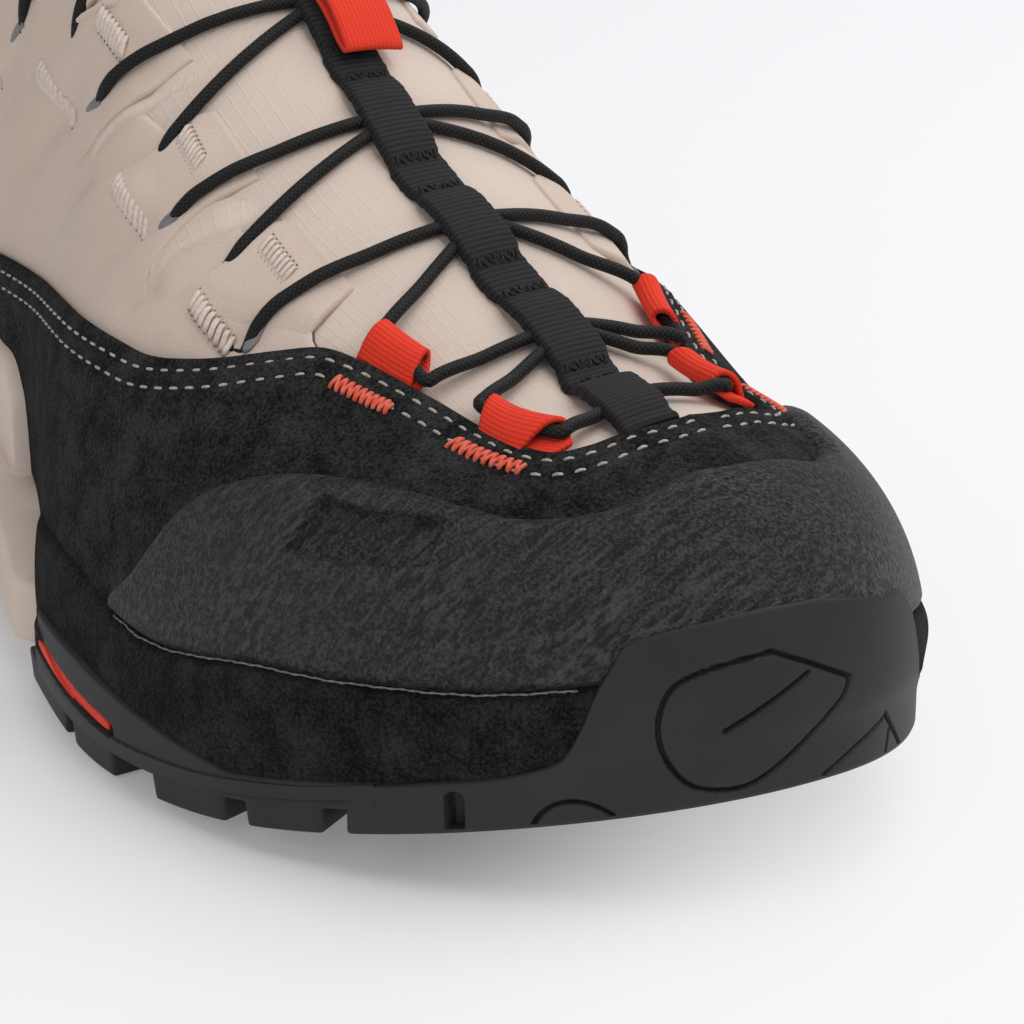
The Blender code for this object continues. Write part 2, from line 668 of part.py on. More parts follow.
def build_upper(parts):
    ring = ring_turns()
    low = np.zeros(len(ring))
    middle = suede_edge(np.abs(ring))
    covered = patch_grids(ring, low, middle, SUEDE_ROWS, UPPER_LAYER)
    bare = patch_grids(ring, middle, top_edge(np.abs(ring)), BARE_ROWS, UPPER_LAYER)
    grids = [np.concatenate([first, second[:, 1:]], 1) for first, second in zip(covered, bare)]
    add_object("upper", *shell_mesh(*grids, True), parts, "upper")
    grids = patch_grids(ring, low, middle, SUEDE_ROWS, SUEDE_LAYER)
    add_object("vamp_suede", *shell_mesh(*grids, True), parts, "vamp_suede")


def cap_low(turn):
    """Lower edge of the toe cap: just over the rand, and over the bumper in front."""
    over_bumper = bumper_top(turn) + EDGE_GAP
    in_front = np.where(turn < 0, np.abs(turn) > 0.868, np.abs(turn) > 0.888)
    return np.maximum(rand_top(np.abs(turn)) + EDGE_GAP, np.where(in_front, over_bumper, 0))


def cap_top(turn):
    return np.where(turn < 0, cap_top_lateral(np.abs(turn)), cap_top_medial(np.abs(turn)))


def build_overlays(parts):
    front = bumper_turns()
    lateral = [t for t in -HALF_TURNS if front[0] + 0.006 < t < CAP_REAR_LATERAL]
    medial = [t for t in HALF_TURNS if CAP_REAR_MEDIAL < t < front[-1] - 0.006]
    turns = np.concatenate([[CAP_REAR_LATERAL], lateral, front, medial[::-1], [CAP_REAR_MEDIAL]])
    grids = patch_grids(turns, cap_low(turns), cap_top(turns), CAP_ROWS, CAP_LAYER)
    add_object("toe_cap", *shell_mesh(*grids, False), parts, "toe_cap")

    steps = -turn_of(np.array([0.1835, 0.1858, 0.193, 0.200, 0.2075, 0.215, 0.222, 0.2279, 0.2300]))
    ring = np.array([t for t in ring_turns() if -0.858 < t < 0.880])
    turns = np.unique(np.concatenate([ring, steps, [-0.858, 0.880]]))
    on_panel = (turns < 0) & (station_of(turns) > 0.1855) & (station_of(turns) < 0.2285)
    over_panel = climb_at_height(turns, panel_top(station_of(turns))) + EDGE_GAP
    low = np.where(on_panel, over_panel, 0.0)
    grids = patch_grids(turns, low, rand_top(np.abs(turns)), RAND_ROWS, RAND_LAYER)
    add_object("rand", *shell_mesh(*grids, False), parts, "rand")


def build_holders(parts):
    fingers = 0
    loops = 0
    for k, kind in enumerate(HOLDERS["kind"]):
        fingers += kind == "finger"
        loops += kind == "loop"
        for side, word in ((-1, "lateral"), (1, "medial")):
            if kind == "finger":
                turns = np.linspace(HOLDERS["rear_turn"][k], HOLDERS["front_turn"][k], 3)
                low = suede_edge(turns) + 2 * EDGE_GAP
                high = top_edge(turns) - EDGE_GAP
                grids = patch_grids(side * turns, low, high, FINGER_ROWS, FINGER_LAYER)
                name = "finger_%s_%d" % (word, fingers)
            else:
                turns = np.linspace(HOLDERS["rear_turn"][k], HOLDERS["front_turn"][k], 4)
                low = np.maximum(HOLDERS["low_climb"][k], suede_edge(turns) + EDGE_GAP)
                high = np.full(4, HOLDERS["high_climb"][k])
                grids = patch_grids(side * turns, low, high, 2, LOOP_LAYER)
                name = "loop_%s_%d" % (word, loops)
            add_object(name, *shell_mesh(*grids, False), parts, kind)


def tongue_offset(turn, climb):
    edge = top_edge(np.abs(turn))
    return TONGUE_UNDER + (TONGUE_OPEN - TONGUE_UNDER) * smooth_step(edge + 0.02, edge + 0.14, climb)


def build_tongue(parts):
    stations = np.concatenate([np.linspace(0.118, 0.236, 11), np.linspace(0.245, 0.276, 5)])
    places = []
    for station in stations:
        for share in np.linspace(-1, 1, TONGUE_COLUMNS):
            half = tongue_lateral(station) if share < 0 else tongue_medial(station)
            places.append(place_on_form(ridge(station) + share * half, station))
    turns, climbs = np.array(places).T
    offsets = tongue_offset(turns, climbs)
    shape = (len(stations), TONGUE_COLUMNS, 3)
    outer = form(turns, climbs, offsets).reshape(shape)
    inner = form(turns, climbs, offsets - TONGUE_THICK).reshape(shape)
    add_object("tongue", *shell_mesh(outer, inner, False), parts, "tongue")


def strap_lift(station):
    lift = 0.0
    for keeper in KEEPERS[:-1]:
        lift = max(lift, 1 - smooth_step(0.45, 1.0, abs(station - keeper) / STRAP_LIFT_REACH))
    return STRAP_LIFT * lift


def strap_grid(low_station, high_station, half, low, thick, steps, lift=strap_lift):
    outer = []
    inner = []
    for station in np.linspace(low_station, high_station, steps):
        for share in (-1, 0, 1):
            x = ridge(station) + share * half
            base = low + lift(station)
            inner.append(crown(x, station, base))
            outer.append(crown(x, station, base + thick))
    shape = (steps, 3, 3)
    return np.array(outer).reshape(shape), np.array(inner).reshape(shape)


def build_webbing(parts):
    grids = strap_grid(*STRAP_ENDS, STRAP_HALF, STRAP_LOW, STRAP_THICK, 32)
    add_object("strap", *shell_mesh(*grids, False), parts, "strap")
    seat = STRAP_LOW + STRAP_THICK + 1.5 * MEET_GAP
    grids = strap_grid(*PULL_TAB_STATIONS, PULL_TAB_HALF, seat, PULL_TAB_THICK, 5)
    add_object("pull_tab", *shell_mesh(*grids, False), parts, "pull_tab")


def lace_end(side, row, where):
    turn = side * HOLDERS[where + "_lace_turn"][row]
    climb = HOLDERS[where + "_lace_climb"][row]
    place = form(turn, climb)
    return np.array([place[0], LENGTH / 2 - place[1]])


def lace_path(start, keeper, end):
    """A strand over the tongue, from one holder under the strap's keeper to the other holder."""
    middle = np.array([ridge(keeper), keeper])
    plan = [start + (middle - start) * t for t in np.linspace(0, 1, LACE_STEPS)]
    plan += [middle + (end - middle) * t for t in np.linspace(0, 1, LACE_STEPS)[1:]]
    reach = np.concatenate([np.linspace(1, 0, LACE_STEPS), np.linspace(0, 1, LACE_STEPS)[1:]])
    points = []
    for place, share in zip(plan, reach):
        offset = LACE_LOW + (LACE_HIGH - LACE_LOW) * smooth_step(0.15, 0.75, share)
        if share < 0.30:
            points.append(crown(place[0], place[1], offset))
        else:
            points.append(form(*place_on_form(*place), offset))
    return points


def build_lace(parts, cutters):
    front = lace_path(lace_end(-1, 0, "front"), KEEPERS[0], lace_end(1, 0, "front"))
    add_object("lace_bar", *tube_mesh(front, LACE_RADIUS, LACE_SIDES), parts, "lace")
    for k, keeper in enumerate(KEEPERS[1:]):
        first = lace_path(lace_end(-1, k, "rear"), keeper, lace_end(1, k + 1, "front"))
        second = lace_path(lace_end(1, k, "rear"), keeper, lace_end(-1, k + 1, "front"))
        name = "lace_crossing_%d" % (k + 1)
        crossing = add_object(name, *tube_mesh(first, LACE_RADIUS, LACE_SIDES), parts, "lace")
        strand = tube_mesh(second, LACE_RADIUS, LACE_SIDES, LACE_TURNED)
        union(crossing, add_object(name + "_strand", *strand, cutters))


def main():
    for old in list(bpy.data.objects):
        bpy.data.objects.remove(old, do_unlink=True)
    parts = bpy.data.collections.new("hiking_shoe")
    cutters = bpy.data.collections.new("cutters")
    bpy.context.scene.collection.children.link(parts)
    bpy.context.scene.collection.children.link(cutters)
    build_soles(parts, cutters)
    build_upper(parts)
    build_overlays(parts)
    build_holders(parts)
    build_tongue(parts)
    build_webbing(parts)
    build_lace(parts, cutters)


main()
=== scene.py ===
"""Hiking shoe, right foot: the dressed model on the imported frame.

Metres, +Z up. The toe points to -Y and the outer (lateral) side to -X.
Turn goes round the foot: 0 at the middle of the heel, negative on the lateral side, 1 and -1 at the
tip of the toe. Climb goes from 0 at the sole to 1 at the spine, the line along the top of the foot.
Station is the distance from the back of the heel.
"""
import math

import bmesh
import bpy
import numpy as np
from mathutils import Matrix, Vector


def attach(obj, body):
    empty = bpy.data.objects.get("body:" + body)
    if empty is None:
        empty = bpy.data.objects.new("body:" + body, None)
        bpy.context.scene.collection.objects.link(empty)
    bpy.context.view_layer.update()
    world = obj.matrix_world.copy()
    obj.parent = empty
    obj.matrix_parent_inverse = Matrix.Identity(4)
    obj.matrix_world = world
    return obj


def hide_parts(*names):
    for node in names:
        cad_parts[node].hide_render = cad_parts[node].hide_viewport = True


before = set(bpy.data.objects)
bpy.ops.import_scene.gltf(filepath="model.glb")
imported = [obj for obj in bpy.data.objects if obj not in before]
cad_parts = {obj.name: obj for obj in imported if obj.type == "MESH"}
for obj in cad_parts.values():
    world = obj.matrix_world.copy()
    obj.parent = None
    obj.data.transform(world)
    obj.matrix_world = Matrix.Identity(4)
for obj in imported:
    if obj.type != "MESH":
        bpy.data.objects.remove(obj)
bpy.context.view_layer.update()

bl_info = {
    "name": "Hiking shoe",
    "version": (1, 0, 0),
    "blender": (4, 5, 0),
    "location": "3D View > Sidebar > Shoe",
    "description": "Dresses the packed shoe with its finished pieces and a studio",
    "category": "Object",
}

# Form of the foot, with the sizes of the CAD solids
LENGTH = 0.300
TOE_SHIFT = 0.008
TOE_SHIFT_START = 0.19
HEEL_ROUND = 0.036
TOE_ROUND = 0.062
TOE_POWER = 2.15
SPRING_RISE = 0.0162
SPRING_START = 0.205
SPRING_POWER = 1.9
SOLE_EDGE = {
    "station": (0.000, 0.040, 0.080, 0.115, 0.150, 0.185, 0.215, 0.245, 0.275, 0.300),
    "lateral": (0.0395, 0.0405, 0.0400, 0.0390, 0.0425, 0.0513, 0.0564, 0.0554, 0.0488, 0.0405),
    "medial": (0.0375, 0.0385, 0.0370, 0.0345, 0.0360, 0.0430, 0.0495, 0.0500, 0.0442, 0.0365),
}
FRONT_INSET = 0.0032
SIDE_INSET = 0.0010
REAR_INSET = 0.0040
REAR_INSET_STATIONS = (0.145, 0.195)
RIDGE_SHIFT = 0.008
RIDGE_STATIONS = (0.16, 0.26)
CROWN_STEP = 0.004
CROWN_FALL = 11.0
TOE_CENTRE = 0.250
HEEL_CENTRE = 0.042
CENTRE_SOFTNESS = 0.007
FEATHER = {
    "station": (0.000, 0.060, 0.110, 0.150, 0.180, 0.205, 0.300),
    "height": (0.0330, 0.0310, 0.0280, 0.0230, 0.0150, 0.0090, 0.0090),
}
SPINE = {
    "station": (0.040, 0.090, 0.125, 0.150, 0.170, 0.190, 0.207, 0.225, 0.241, 0.255, 0.270),
    "height": (0.135, 0.140, 0.137, 0.122, 0.106, 0.0905, 0.0795, 0.0705, 0.0615, 0.0555, 0.0500),
}
FULLNESS = {
    "station": (0.000, 0.060, 0.110, 0.150, 0.190, 0.225, 0.250, 0.275, 0.300),
    "lateral": (2.30, 2.25, 2.20, 2.10, 2.05, 2.05, 2.20, 2.45, 2.70),
    "medial": (2.30, 2.25, 2.30, 2.60, 2.50, 2.15, 1.90, 2.15, 2.70),
}

# Edges drawn on the upper, as climb over turn
TOP_EDGE = {
    "turn": (0.00, 0.08, 0.16, 0.24, 0.30, 0.36, 0.40, 0.43, 0.46, 0.49, 0.52, 0.55, 0.58, 0.61,
             0.64, 0.665, 0.69, 0.72, 0.774, 0.81, 0.838, 0.862, 0.893, 0.95, 1.00),
    "climb": (0.36, 0.345, 0.305, 0.275, 0.272, 0.33, 0.40, 0.435, 0.465, 0.505, 0.535, 0.57,
              0.635, 0.655, 0.665, 0.680, 0.715, 0.752, 0.750, 0.724, 0.716, 0.740, 0.780, 0.812, 0.830),
}
SUEDE_EDGE = {
    "turn": (0.00, 0.295, 0.436, 0.473, 0.50, 0.56, 0.594, 0.615, 0.63, 0.648, 0.662, 0.673, 0.685,
             0.704, 0.72, 0.774, 0.81, 0.838, 0.862, 0.893, 0.95, 1.00),
    "climb": (0.104, 0.107, 0.124, 0.158, 0.193, 0.318, 0.393, 0.439, 0.484, 0.545, 0.604, 0.655, 0.685,
              0.717, 0.733, 0.730, 0.702, 0.692, 0.717, 0.762, 0.797, 0.815),
}
CAP_REAR_LATERAL = -0.640
CAP_REAR_MEDIAL = 0.660
CAP_OVER_BUMPER = (0.868, 0.888)
CAP_TUCK = 0.012
CAP_OVER_RAND = 0.002
CAP_TOP_LATERAL = {
    "turn": (0.640, 0.653, 0.667, 0.686, 0.707, 0.736, 0.772, 0.804, 0.828, 0.850, 0.875, 0.905, 0.940,
             1.00),
    "climb": (0.170, 0.233, 0.348, 0.436, 0.499, 0.539, 0.541, 0.516, 0.496, 0.496, 0.509, 0.546, 0.602,
              0.614),
}
CAP_TOP_MEDIAL = {
    "turn": (0.660, 0.675, 0.690, 0.715, 0.750, 0.790, 0.831, 0.856, 0.880, 0.903, 0.922, 0.960, 1.00),
    "climb": (0.170, 0.250, 0.350, 0.470, 0.570, 0.620, 0.640, 0.612, 0.560, 0.551, 0.556, 0.595, 0.614),
}
RAND_TOP = {
    "turn": (0.00, 0.30, 0.43, 0.50, 0.557, 0.605, 0.640, 0.668, 0.729, 0.774, 0.828, 0.861, 0.900, 1.00),
    "climb": (0.050, 0.050, 0.055, 0.065, 0.085, 0.130, 0.146, 0.148, 0.178, 0.155, 0.120, 0.113, 0.113,
              0.113),
}
BUMPER_TOP_LATERAL = {
    "turn": (0.862, 0.872, 0.880, 0.889, 0.907, 0.927, 0.962, 1.00),
    "climb": (0.010, 0.060, 0.128, 0.175, 0.201, 0.200, 0.212, 0.208),
}
BUMPER_TOP_MEDIAL = {
    "turn": (0.885, 0.893, 0.903, 0.914, 0.948, 1.00),
    "climb": (0.010, 0.070, 0.128, 0.153, 0.178, 0.208),
}

# Edges of the finished pieces that run finer than those of the solids
BAND_TOP = {
    "turn": (0.500, 0.518, 0.535, 0.552, 0.572, 0.594, 0.620, 0.640, 0.668, 0.729, 0.774, 0.828, 0.861,
             0.900, 1.00),
    "climb": (0.003, 0.008, 0.024, 0.053, 0.086, 0.117, 0.140, 0.148, 0.150, 0.180, 0.157, 0.122, 0.114,
              0.114, 0.114),
}
BAND_REAR = 0.504
BAND_FRONTS = (0.905, 0.915)
CUP_TOP = {
    "turn": (0.00, 0.20, 0.35, 0.43, 0.47, 0.492, 0.500, 0.5035),
    "climb": (0.058, 0.058, 0.062, 0.070, 0.077, 0.073, 0.045, 0.004),
}
SIDEWALL_TOP = {
    "station": (0.184, 0.192, 0.200, 0.208, 0.217, 0.226, 0.233, 0.240, 0.2504, 0.2579, 0.2625, 0.2680),
    "height": (0.0138, 0.0146, 0.0148, 0.0146, 0.0138, 0.0128, 0.0122, 0.0116, 0.0106, 0.0117, 0.0127,
               0.0139),
}
BUMPER_RIM_LATERAL = {
    "turn": (0.770, 0.806, 0.8357, 0.851, 0.8636, 0.8703, 0.876, 0.883, 0.888, 0.894, 0.902, 0.927,
             0.961, 1.00),
    "height": (0.0128, 0.0154, 0.0174, 0.0192, 0.0221, 0.0260, 0.0299, 0.0332, 0.0354, 0.0364, 0.0370,
               0.0384, 0.0396, 0.0398),
}
BUMPER_RIM_MEDIAL = {
    "turn": (0.800, 0.850, 0.875, 0.887, 0.893, 0.899, 0.907, 0.940, 0.980, 1.00),
    "height": (0.0150, 0.0186, 0.0214, 0.0245, 0.0285, 0.0325, 0.0350, 0.0372, 0.0390, 0.0398),
}

# The cap's raw edge and recessed plate, the sidewall's slot, and the stitch rows' distances from the edge
RAW_EDGE_ENDS = (-0.648, -0.868)
RECESS = (-0.760, 0.428)
RECESS_HALF = (0.0105, 0.0036)
SLOT_ENDS = ((-0.586, 0.0107), (-0.654, 0.0084))
SLOT_DEPTH = 0.0009
STITCH_ROWS = (0.0021, 0.0047)

# Inside of the upper, and thickness of the pieces that are sheets
UPPER_WALL = 0.0020
COLLAR_END = (0.42, 0.54)
INSIDE_ENDS = (-0.100, 0.108)
INSIDE_HEIGHT = 0.045
SUEDE_THICK = 0.0009
LEATHER_THICK = 0.0010
FILM_THICK = 0.0005
LEAF_THICK = 0.0003
WEBBING_THICK = 0.0009
LOOP_THICK = 0.0008

# Sole
LUG_DEPTH = 0.0040
LUG_SINK = 0.0012
LUG_REACH = 0.0150
LUG_FLARE = 0.0006
LUG_BEVEL = 0.0005
PLATE_BASE = 0.0085
ARCH_RISE = 0.0032
ARCH_STATIONS = (0.078, 0.108, 0.138, 0.166)
WAIST_STATIONS = (0.100, 0.128, 0.179, 0.187)
WAIST_DRAWN_IN = 0.0042
TOE_DRAWN_IN = 0.0024
BEHIND_BUMPER = ((0.775, 0.785), (0.825, 0.835))
PLATE_RISE_STATIONS = (0.185, 0.205)
HEEL_BEVEL_RISE = 0.0030
HEEL_BEVEL_LENGTH = 0.016
PLATE_BEVEL = 0.3
MEET_GAP = 0.00035
EDGE_LUGS = {
    "start": (0.015, 0.100, 0.180, 0.255, 0.322, 0.500, 0.562, 0.619, 0.679, 0.730, 0.771, 0.820, 0.892),
    "end": (0.087, 0.166, 0.242, 0.310, 0.368, 0.553, 0.610, 0.652, 0.719, 0.763, 0.811, 0.878, 0.982),
    "setback": (0.0007, 0.0007, 0.0007, 0.0007, 0.0007, 0.0058, 0.0007, 0.0007, 0.0007, 0.0007, 0.0030,
                0.0030, 0.0030),
}
CENTRE_LUGS = {
    "station": (0.040, 0.068, 0.172, 0.199, 0.226, 0.252),
    "spread": (0.0100, 0.0110, 0.0125, 0.0175, 0.0190, 0.0150),
    "length": (0.018, 0.018, 0.017, 0.018, 0.018, 0.015),
    "width": (0.012, 0.014, 0.015, 0.018, 0.020, 0.016),
}
CENTRE_LUG_ANGLE = 0.35
BED = {
    "station": (0.000, 0.080, 0.150, 0.200, 0.250, 0.300),
    "height": (0.0260, 0.0255, 0.0215, 0.0175, 0.0165, 0.0160),
}
CORE_INSET = 0.0029
INSOLE_INSET = 0.0046
INSOLE_THICK = 0.0040
MIDSOLE_WALL_INSET = 0.0004
MIDSOLE_END_LATERAL = (0.175, 0.1855)
MIDSOLE_END_MEDIAL = (0.178, 0.200)

# Grooves moulded in the bumper: rows of (turn, height over the floor), and an arc where the tread wraps up
BUMPER_GROOVES = (
    ((0.982, 0.0306), (0.987, 0.0283), (0.995, 0.0267), (-0.985, 0.0221), (-0.959, 0.0183), (-0.949, 0.0177),
     (-0.933, 0.0177), (-0.921, 0.0186), (-0.910, 0.0217), (-0.905, 0.0258), (-0.907, 0.0297),
     (-0.913, 0.0322), (-0.927, 0.0340), (-0.948, 0.0353), (-0.968, 0.0361)),
    ((-0.968, 0.0361), (-0.991, 0.0338), (0.982, 0.0306)),
    ((-0.940, 0.0260), (-0.9895, 0.0326)),
    ((0.940, 0.0215), (0.973, 0.0196), (0.997, 0.0173)),
    ((0.937, 0.0221), (0.908, 0.0150)),
    ((0.929, 0.0192), (0.934, 0.0150)),
    ((-0.8465, 0.0092), (-0.8505, 0.0130), (-0.857, 0.0150), (-0.866, 0.0158), (-0.876, 0.0153),
     (-0.886, 0.0138), (-0.8935, 0.0120)),
)
TREAD_PIT = ((-0.8165, 0.0142), (-0.8170, 0.0105))
TREAD_PIT_SIZE = (0.0015, 0.0022)
BUMPER_ENDS = (-0.7725, 0.822)
PANEL_STATIONS = (0.1850, 0.2670)
RUBBER_PROUD = 0.0037

# Tongue, strap and lace
TONGUE = {
    "station": (0.118, 0.135, 0.160, 0.190, 0.215, 0.235, 0.255, 0.268, 0.276),
    "lateral": (0.0258, 0.0272, 0.0300, 0.0330, 0.0325, 0.0285, 0.0250, 0.0195, 0.0110),
    "medial": (0.0240, 0.0248, 0.0258, 0.0280, 0.0295, 0.0278, 0.0250, 0.0195, 0.0110),
}
TONGUE_UNDER = -0.0032
TONGUE_OPEN = -0.0012
TONGUE_THICK = 0.0023
STRAP_MIDDLE = {
    "station": (0.165, 0.190, 0.205, 0.218, 0.228, 0.239, 0.247, 0.252, 0.258, 0.270),
    "x": (0.0006, 0.0024, 0.0022, 0.0030, 0.0035, 0.0052, 0.0054, 0.0048, 0.0038, 0.0030),
}
STRAP_ENDS = (0.170, 0.2675)
STRAP_LOW = -0.0003
STRAP_THICK = 0.0013
STRAP_LIFT = 0.0012
STRAP_LIFT_REACH = 0.0088
STRAP_SEAM = 0.0068
STRAP_TACK = 0.0072
LACE_LOW = 0.0006
LACE_OVER_FINGER = 0.0017
LACE_IN_LOOP = 0.0019
LACE_DROP = 0.045
CROSSING_HALF = 0.0007
KEEPERS = (0.2585, 0.2405, 0.2205, 0.2000, 0.1805, 0.1480)
PULL_TAB_STATIONS = (0.1775, 0.1898)
PULL_TAB_HALF = 0.0047
PULL_TAB_SHIFT = 0.0024

# Lace stations from the toe up: where the lace goes in in front and comes out behind, as turn and climb
LACE_FRONT = ((0.838, 0.742), (0.714, 0.744), (0.646, 0.598), (0.593, 0.580), (0.535, 0.510), (0.470, 0.402))
LACE_REAR = ((0.748, 0.770), (0.683, 0.742), (0.6205, 0.634), (0.5735, 0.616), (0.506, 0.498), (0.440, 0.395))
LIP_ENDS = ((0.649, 0.558), (0.590, 0.543), (0.528, 0.465), (0.462, 0.362))

# Loops: rear low, rear high, front high and front low corners on the form
LOOPS = (
    ((0.7665, 0.720), (0.755, 0.800), (0.837, 0.775), (0.810, 0.684)),
    ((0.684, 0.692), (0.682, 0.757), (0.702, 0.779), (0.709, 0.722)),
)
LOOP_FOOT = (0.022, 0.004)
LOOP_COLUMNS = 23
LOOP_ROWS = 56
MEDIAL_SHIFT = ((-0.010, 0.036), (0.0, 0.0))
LOOP_SECTION = ((-0.25, 0.0002), (0.02, 0.0016), (0.28, 0.0030), (0.58, 0.0038), (0.84, 0.0035),
                (1.0, 0.0022), (0.93, 0.0008), (0.62, 0.0002), (0.25, 0.0001), (-0.25, 0.0))

# Eyestay fingers: their rear and front edges from the suede up, as turn and climb
FINGER_REAR = (
    ((0.598, 0.410), (0.606, 0.480), (0.6125, 0.540), (0.6175, 0.592), (0.6200, 0.640), (0.6205, 0.704)),
    ((0.487, 0.178), (0.520, 0.300), (0.548, 0.430), (0.566, 0.549), (0.5725, 0.615), (0.5745, 0.675)),
    ((0.410, 0.135), (0.440, 0.250), (0.468, 0.355), (0.488, 0.424), (0.505, 0.499), (0.522, 0.600)),
    ((0.360, 0.118), (0.388, 0.215), (0.412, 0.290), (0.430, 0.350), (0.446, 0.415), (0.462, 0.490)),
)
FINGER_FRONT = (
    ((0.664, 0.612), (0.6635, 0.640), (0.663, 0.668), (0.662, 0.696), (0.661, 0.724), (0.660, 0.752)),
    ((0.590, 0.388), (0.5935, 0.445), (0.5955, 0.515), (0.598, 0.589), (0.602, 0.665), (0.606, 0.738)),
    ((0.484, 0.173), (0.512, 0.310), (0.533, 0.420), (0.543, 0.505), (0.555, 0.620), (0.561, 0.727)),
    ((0.407, 0.128), (0.442, 0.215), (0.466, 0.300), (0.486, 0.390), (0.503, 0.490), (0.513, 0.600)),
)

# Leaves of ripstop in the slits between the fingers: rear and front edges from the slit's tip up
SLIT_REAR = (
    ((0.5965, 0.480), (0.5950, 0.531), (0.5975, 0.589), (0.6015, 0.659), (0.6055, 0.737), (0.6060, 0.800)),
    ((0.5405, 0.445), (0.5395, 0.470), (0.5460, 0.534), (0.5545, 0.624), (0.5595, 0.704), (0.5615, 0.775)),
    ((0.4855, 0.380), (0.4845, 0.405), (0.4910, 0.469), (0.4995, 0.555), (0.5045, 0.625), (0.5065, 0.690)),
)
SLIT_FRONT = (
    ((0.5970, 0.480), (0.6020, 0.544), (0.6070, 0.586), (0.6140, 0.639), (0.6200, 0.700), (0.6260, 0.780)),
    ((0.5410, 0.445), (0.5440, 0.472), (0.5500, 0.531), (0.5570, 0.584), (0.5640, 0.655), (0.5760, 0.745)),
    ((0.4860, 0.380), (0.4890, 0.407), (0.4950, 0.466), (0.5020, 0.520), (0.5090, 0.585), (0.5200, 0.660)),
)
FINGER_TACKS = (
    ((0.625, 0.687), (0.642, 0.687), (0.618, 0.546), (0.642, 0.546)),
    ((0.576, 0.657), (0.589, 0.659), (0.563, 0.506), (0.584, 0.521)),
    ((0.518, 0.564), (0.537, 0.599), (0.488, 0.393), (0.517, 0.419)),
    ((0.460, 0.435), (0.478, 0.462), (0.428, 0.285), (0.455, 0.312)),
)

# Soft troughs and ridges of the cloth: two ends on the form, half width and height
CLOTH_FOLDS = (
    ((0.588, 0.548), (0.554, 0.303), 0.0020, -0.00126),
    ((0.578, 0.560), (0.530, 0.300), 0.0024, 0.00084),
    ((0.524, 0.455), (0.466, 0.190), 0.0022, -0.00126),
    ((0.512, 0.460), (0.448, 0.190), 0.0026, 0.00084),
    ((0.648, 0.600), (0.634, 0.505), 0.0018, -0.00098),
    ((0.630, 0.560), (0.612, 0.445), 0.0022, 0.00070),
    ((0.602, 0.510), (0.586, 0.385), 0.0016, -0.00112),
    ((0.545, 0.440), (0.505, 0.215), 0.0017, -0.00098),
    ((0.470, 0.370), (0.430, 0.180), 0.0020, -0.00084),
    ((0.455, 0.390), (0.405, 0.150), 0.0026, 0.00070),
)

MEDIAL_TACK_DROP = 0.055
ORANGE_TACKS = (((0.687, 0.632), (0.713, 0.667)), ((0.761, 0.672), (0.819, 0.629)))
TINY_TURN = 1e-4

# Studio: how the table's painted glow grows stronger in front, to thin the shadow under the toe, in degrees
# and metres, lights and camera
TABLE_ANGLE = 58.0
TABLE_RAMP = (0.075, 0.130)
TABLE_WHITE = 0.94
LIGHT_TARGET = (0.0, -0.05, 0.03)
SENSOR_WIDTH = 36.0


def curve_through(places, values):
    """A smooth curve through the rows of a table, with averaged slopes."""
    places = np.asarray(places, float)
    values = np.asarray(values, float)
    steps = np.diff(places)
    rises = np.diff(values) / steps
    slopes = np.empty_like(values)
    slopes[1:-1] = (rises[:-1] * steps[1:] + rises[1:] * steps[:-1]) / (steps[1:] + steps[:-1])
    slopes[0] = rises[0]
    slopes[-1] = rises[-1]

    def at(place):
        place = np.clip(place, places[0], places[-1])
        k = np.clip(np.searchsorted(places, place) - 1, 0, len(places) - 2)
        t = (place - places[k]) / steps[k]
        rest = 1 - t
        return (rest * rest * (1 + 2 * t) * values[k] + t * t * (3 - 2 * t) * values[k + 1]
                + steps[k] * t * rest * (rest * slopes[k] - t * slopes[k + 1]))
    return at


def table_curve(table, value):
    """A smooth curve through one column of a table, over its first column."""
    return curve_through(next(iter(table.values())), table[value])


def smooth_step(low, high, x):
    """0 up to low, 1 from high on, and a soft change between."""
    t = np.clip((x - low) / (high - low), 0, 1)
    return t * t * (3 - 2 * t)


def plateau(start, full, falling, end, x):
    """1 between two places and 0 before and after, with soft changes."""
    return smooth_step(start, full, x) * (1 - smooth_step(falling, end, x))


def steps_over(*stretches):
    """Numbers over stretches of (start, end, count) that join on, with each joint once."""
    parts = [np.linspace(*stretch) for stretch in stretches]
    return np.concatenate(parts[:1] + [part[1:] for part in parts[1:]])


def unit(vectors):
    """Vectors of length 1."""
    return vectors / np.linalg.norm(vectors, axis=-1, keepdims=True)


def run_length(path):
    """Length along a path up to each of its points."""
    return np.concatenate([[0], np.cumsum(np.linalg.norm(np.diff(path, axis=0), axis=1))])


def off_line(away, along):
    """Share along a line at each place, and the distance aside of the line or past its ends."""
    share = (away @ along) / (along @ along)
    return share, np.linalg.norm(away - np.clip(share, 0, 1)[..., None] * along, axis=-1)


def by_side(turn, lateral, medial):
    """Value at each turn, from the lateral side's curve or the medial one's."""
    return np.where(turn < 0, lateral(np.abs(turn)), medial(np.abs(turn)))


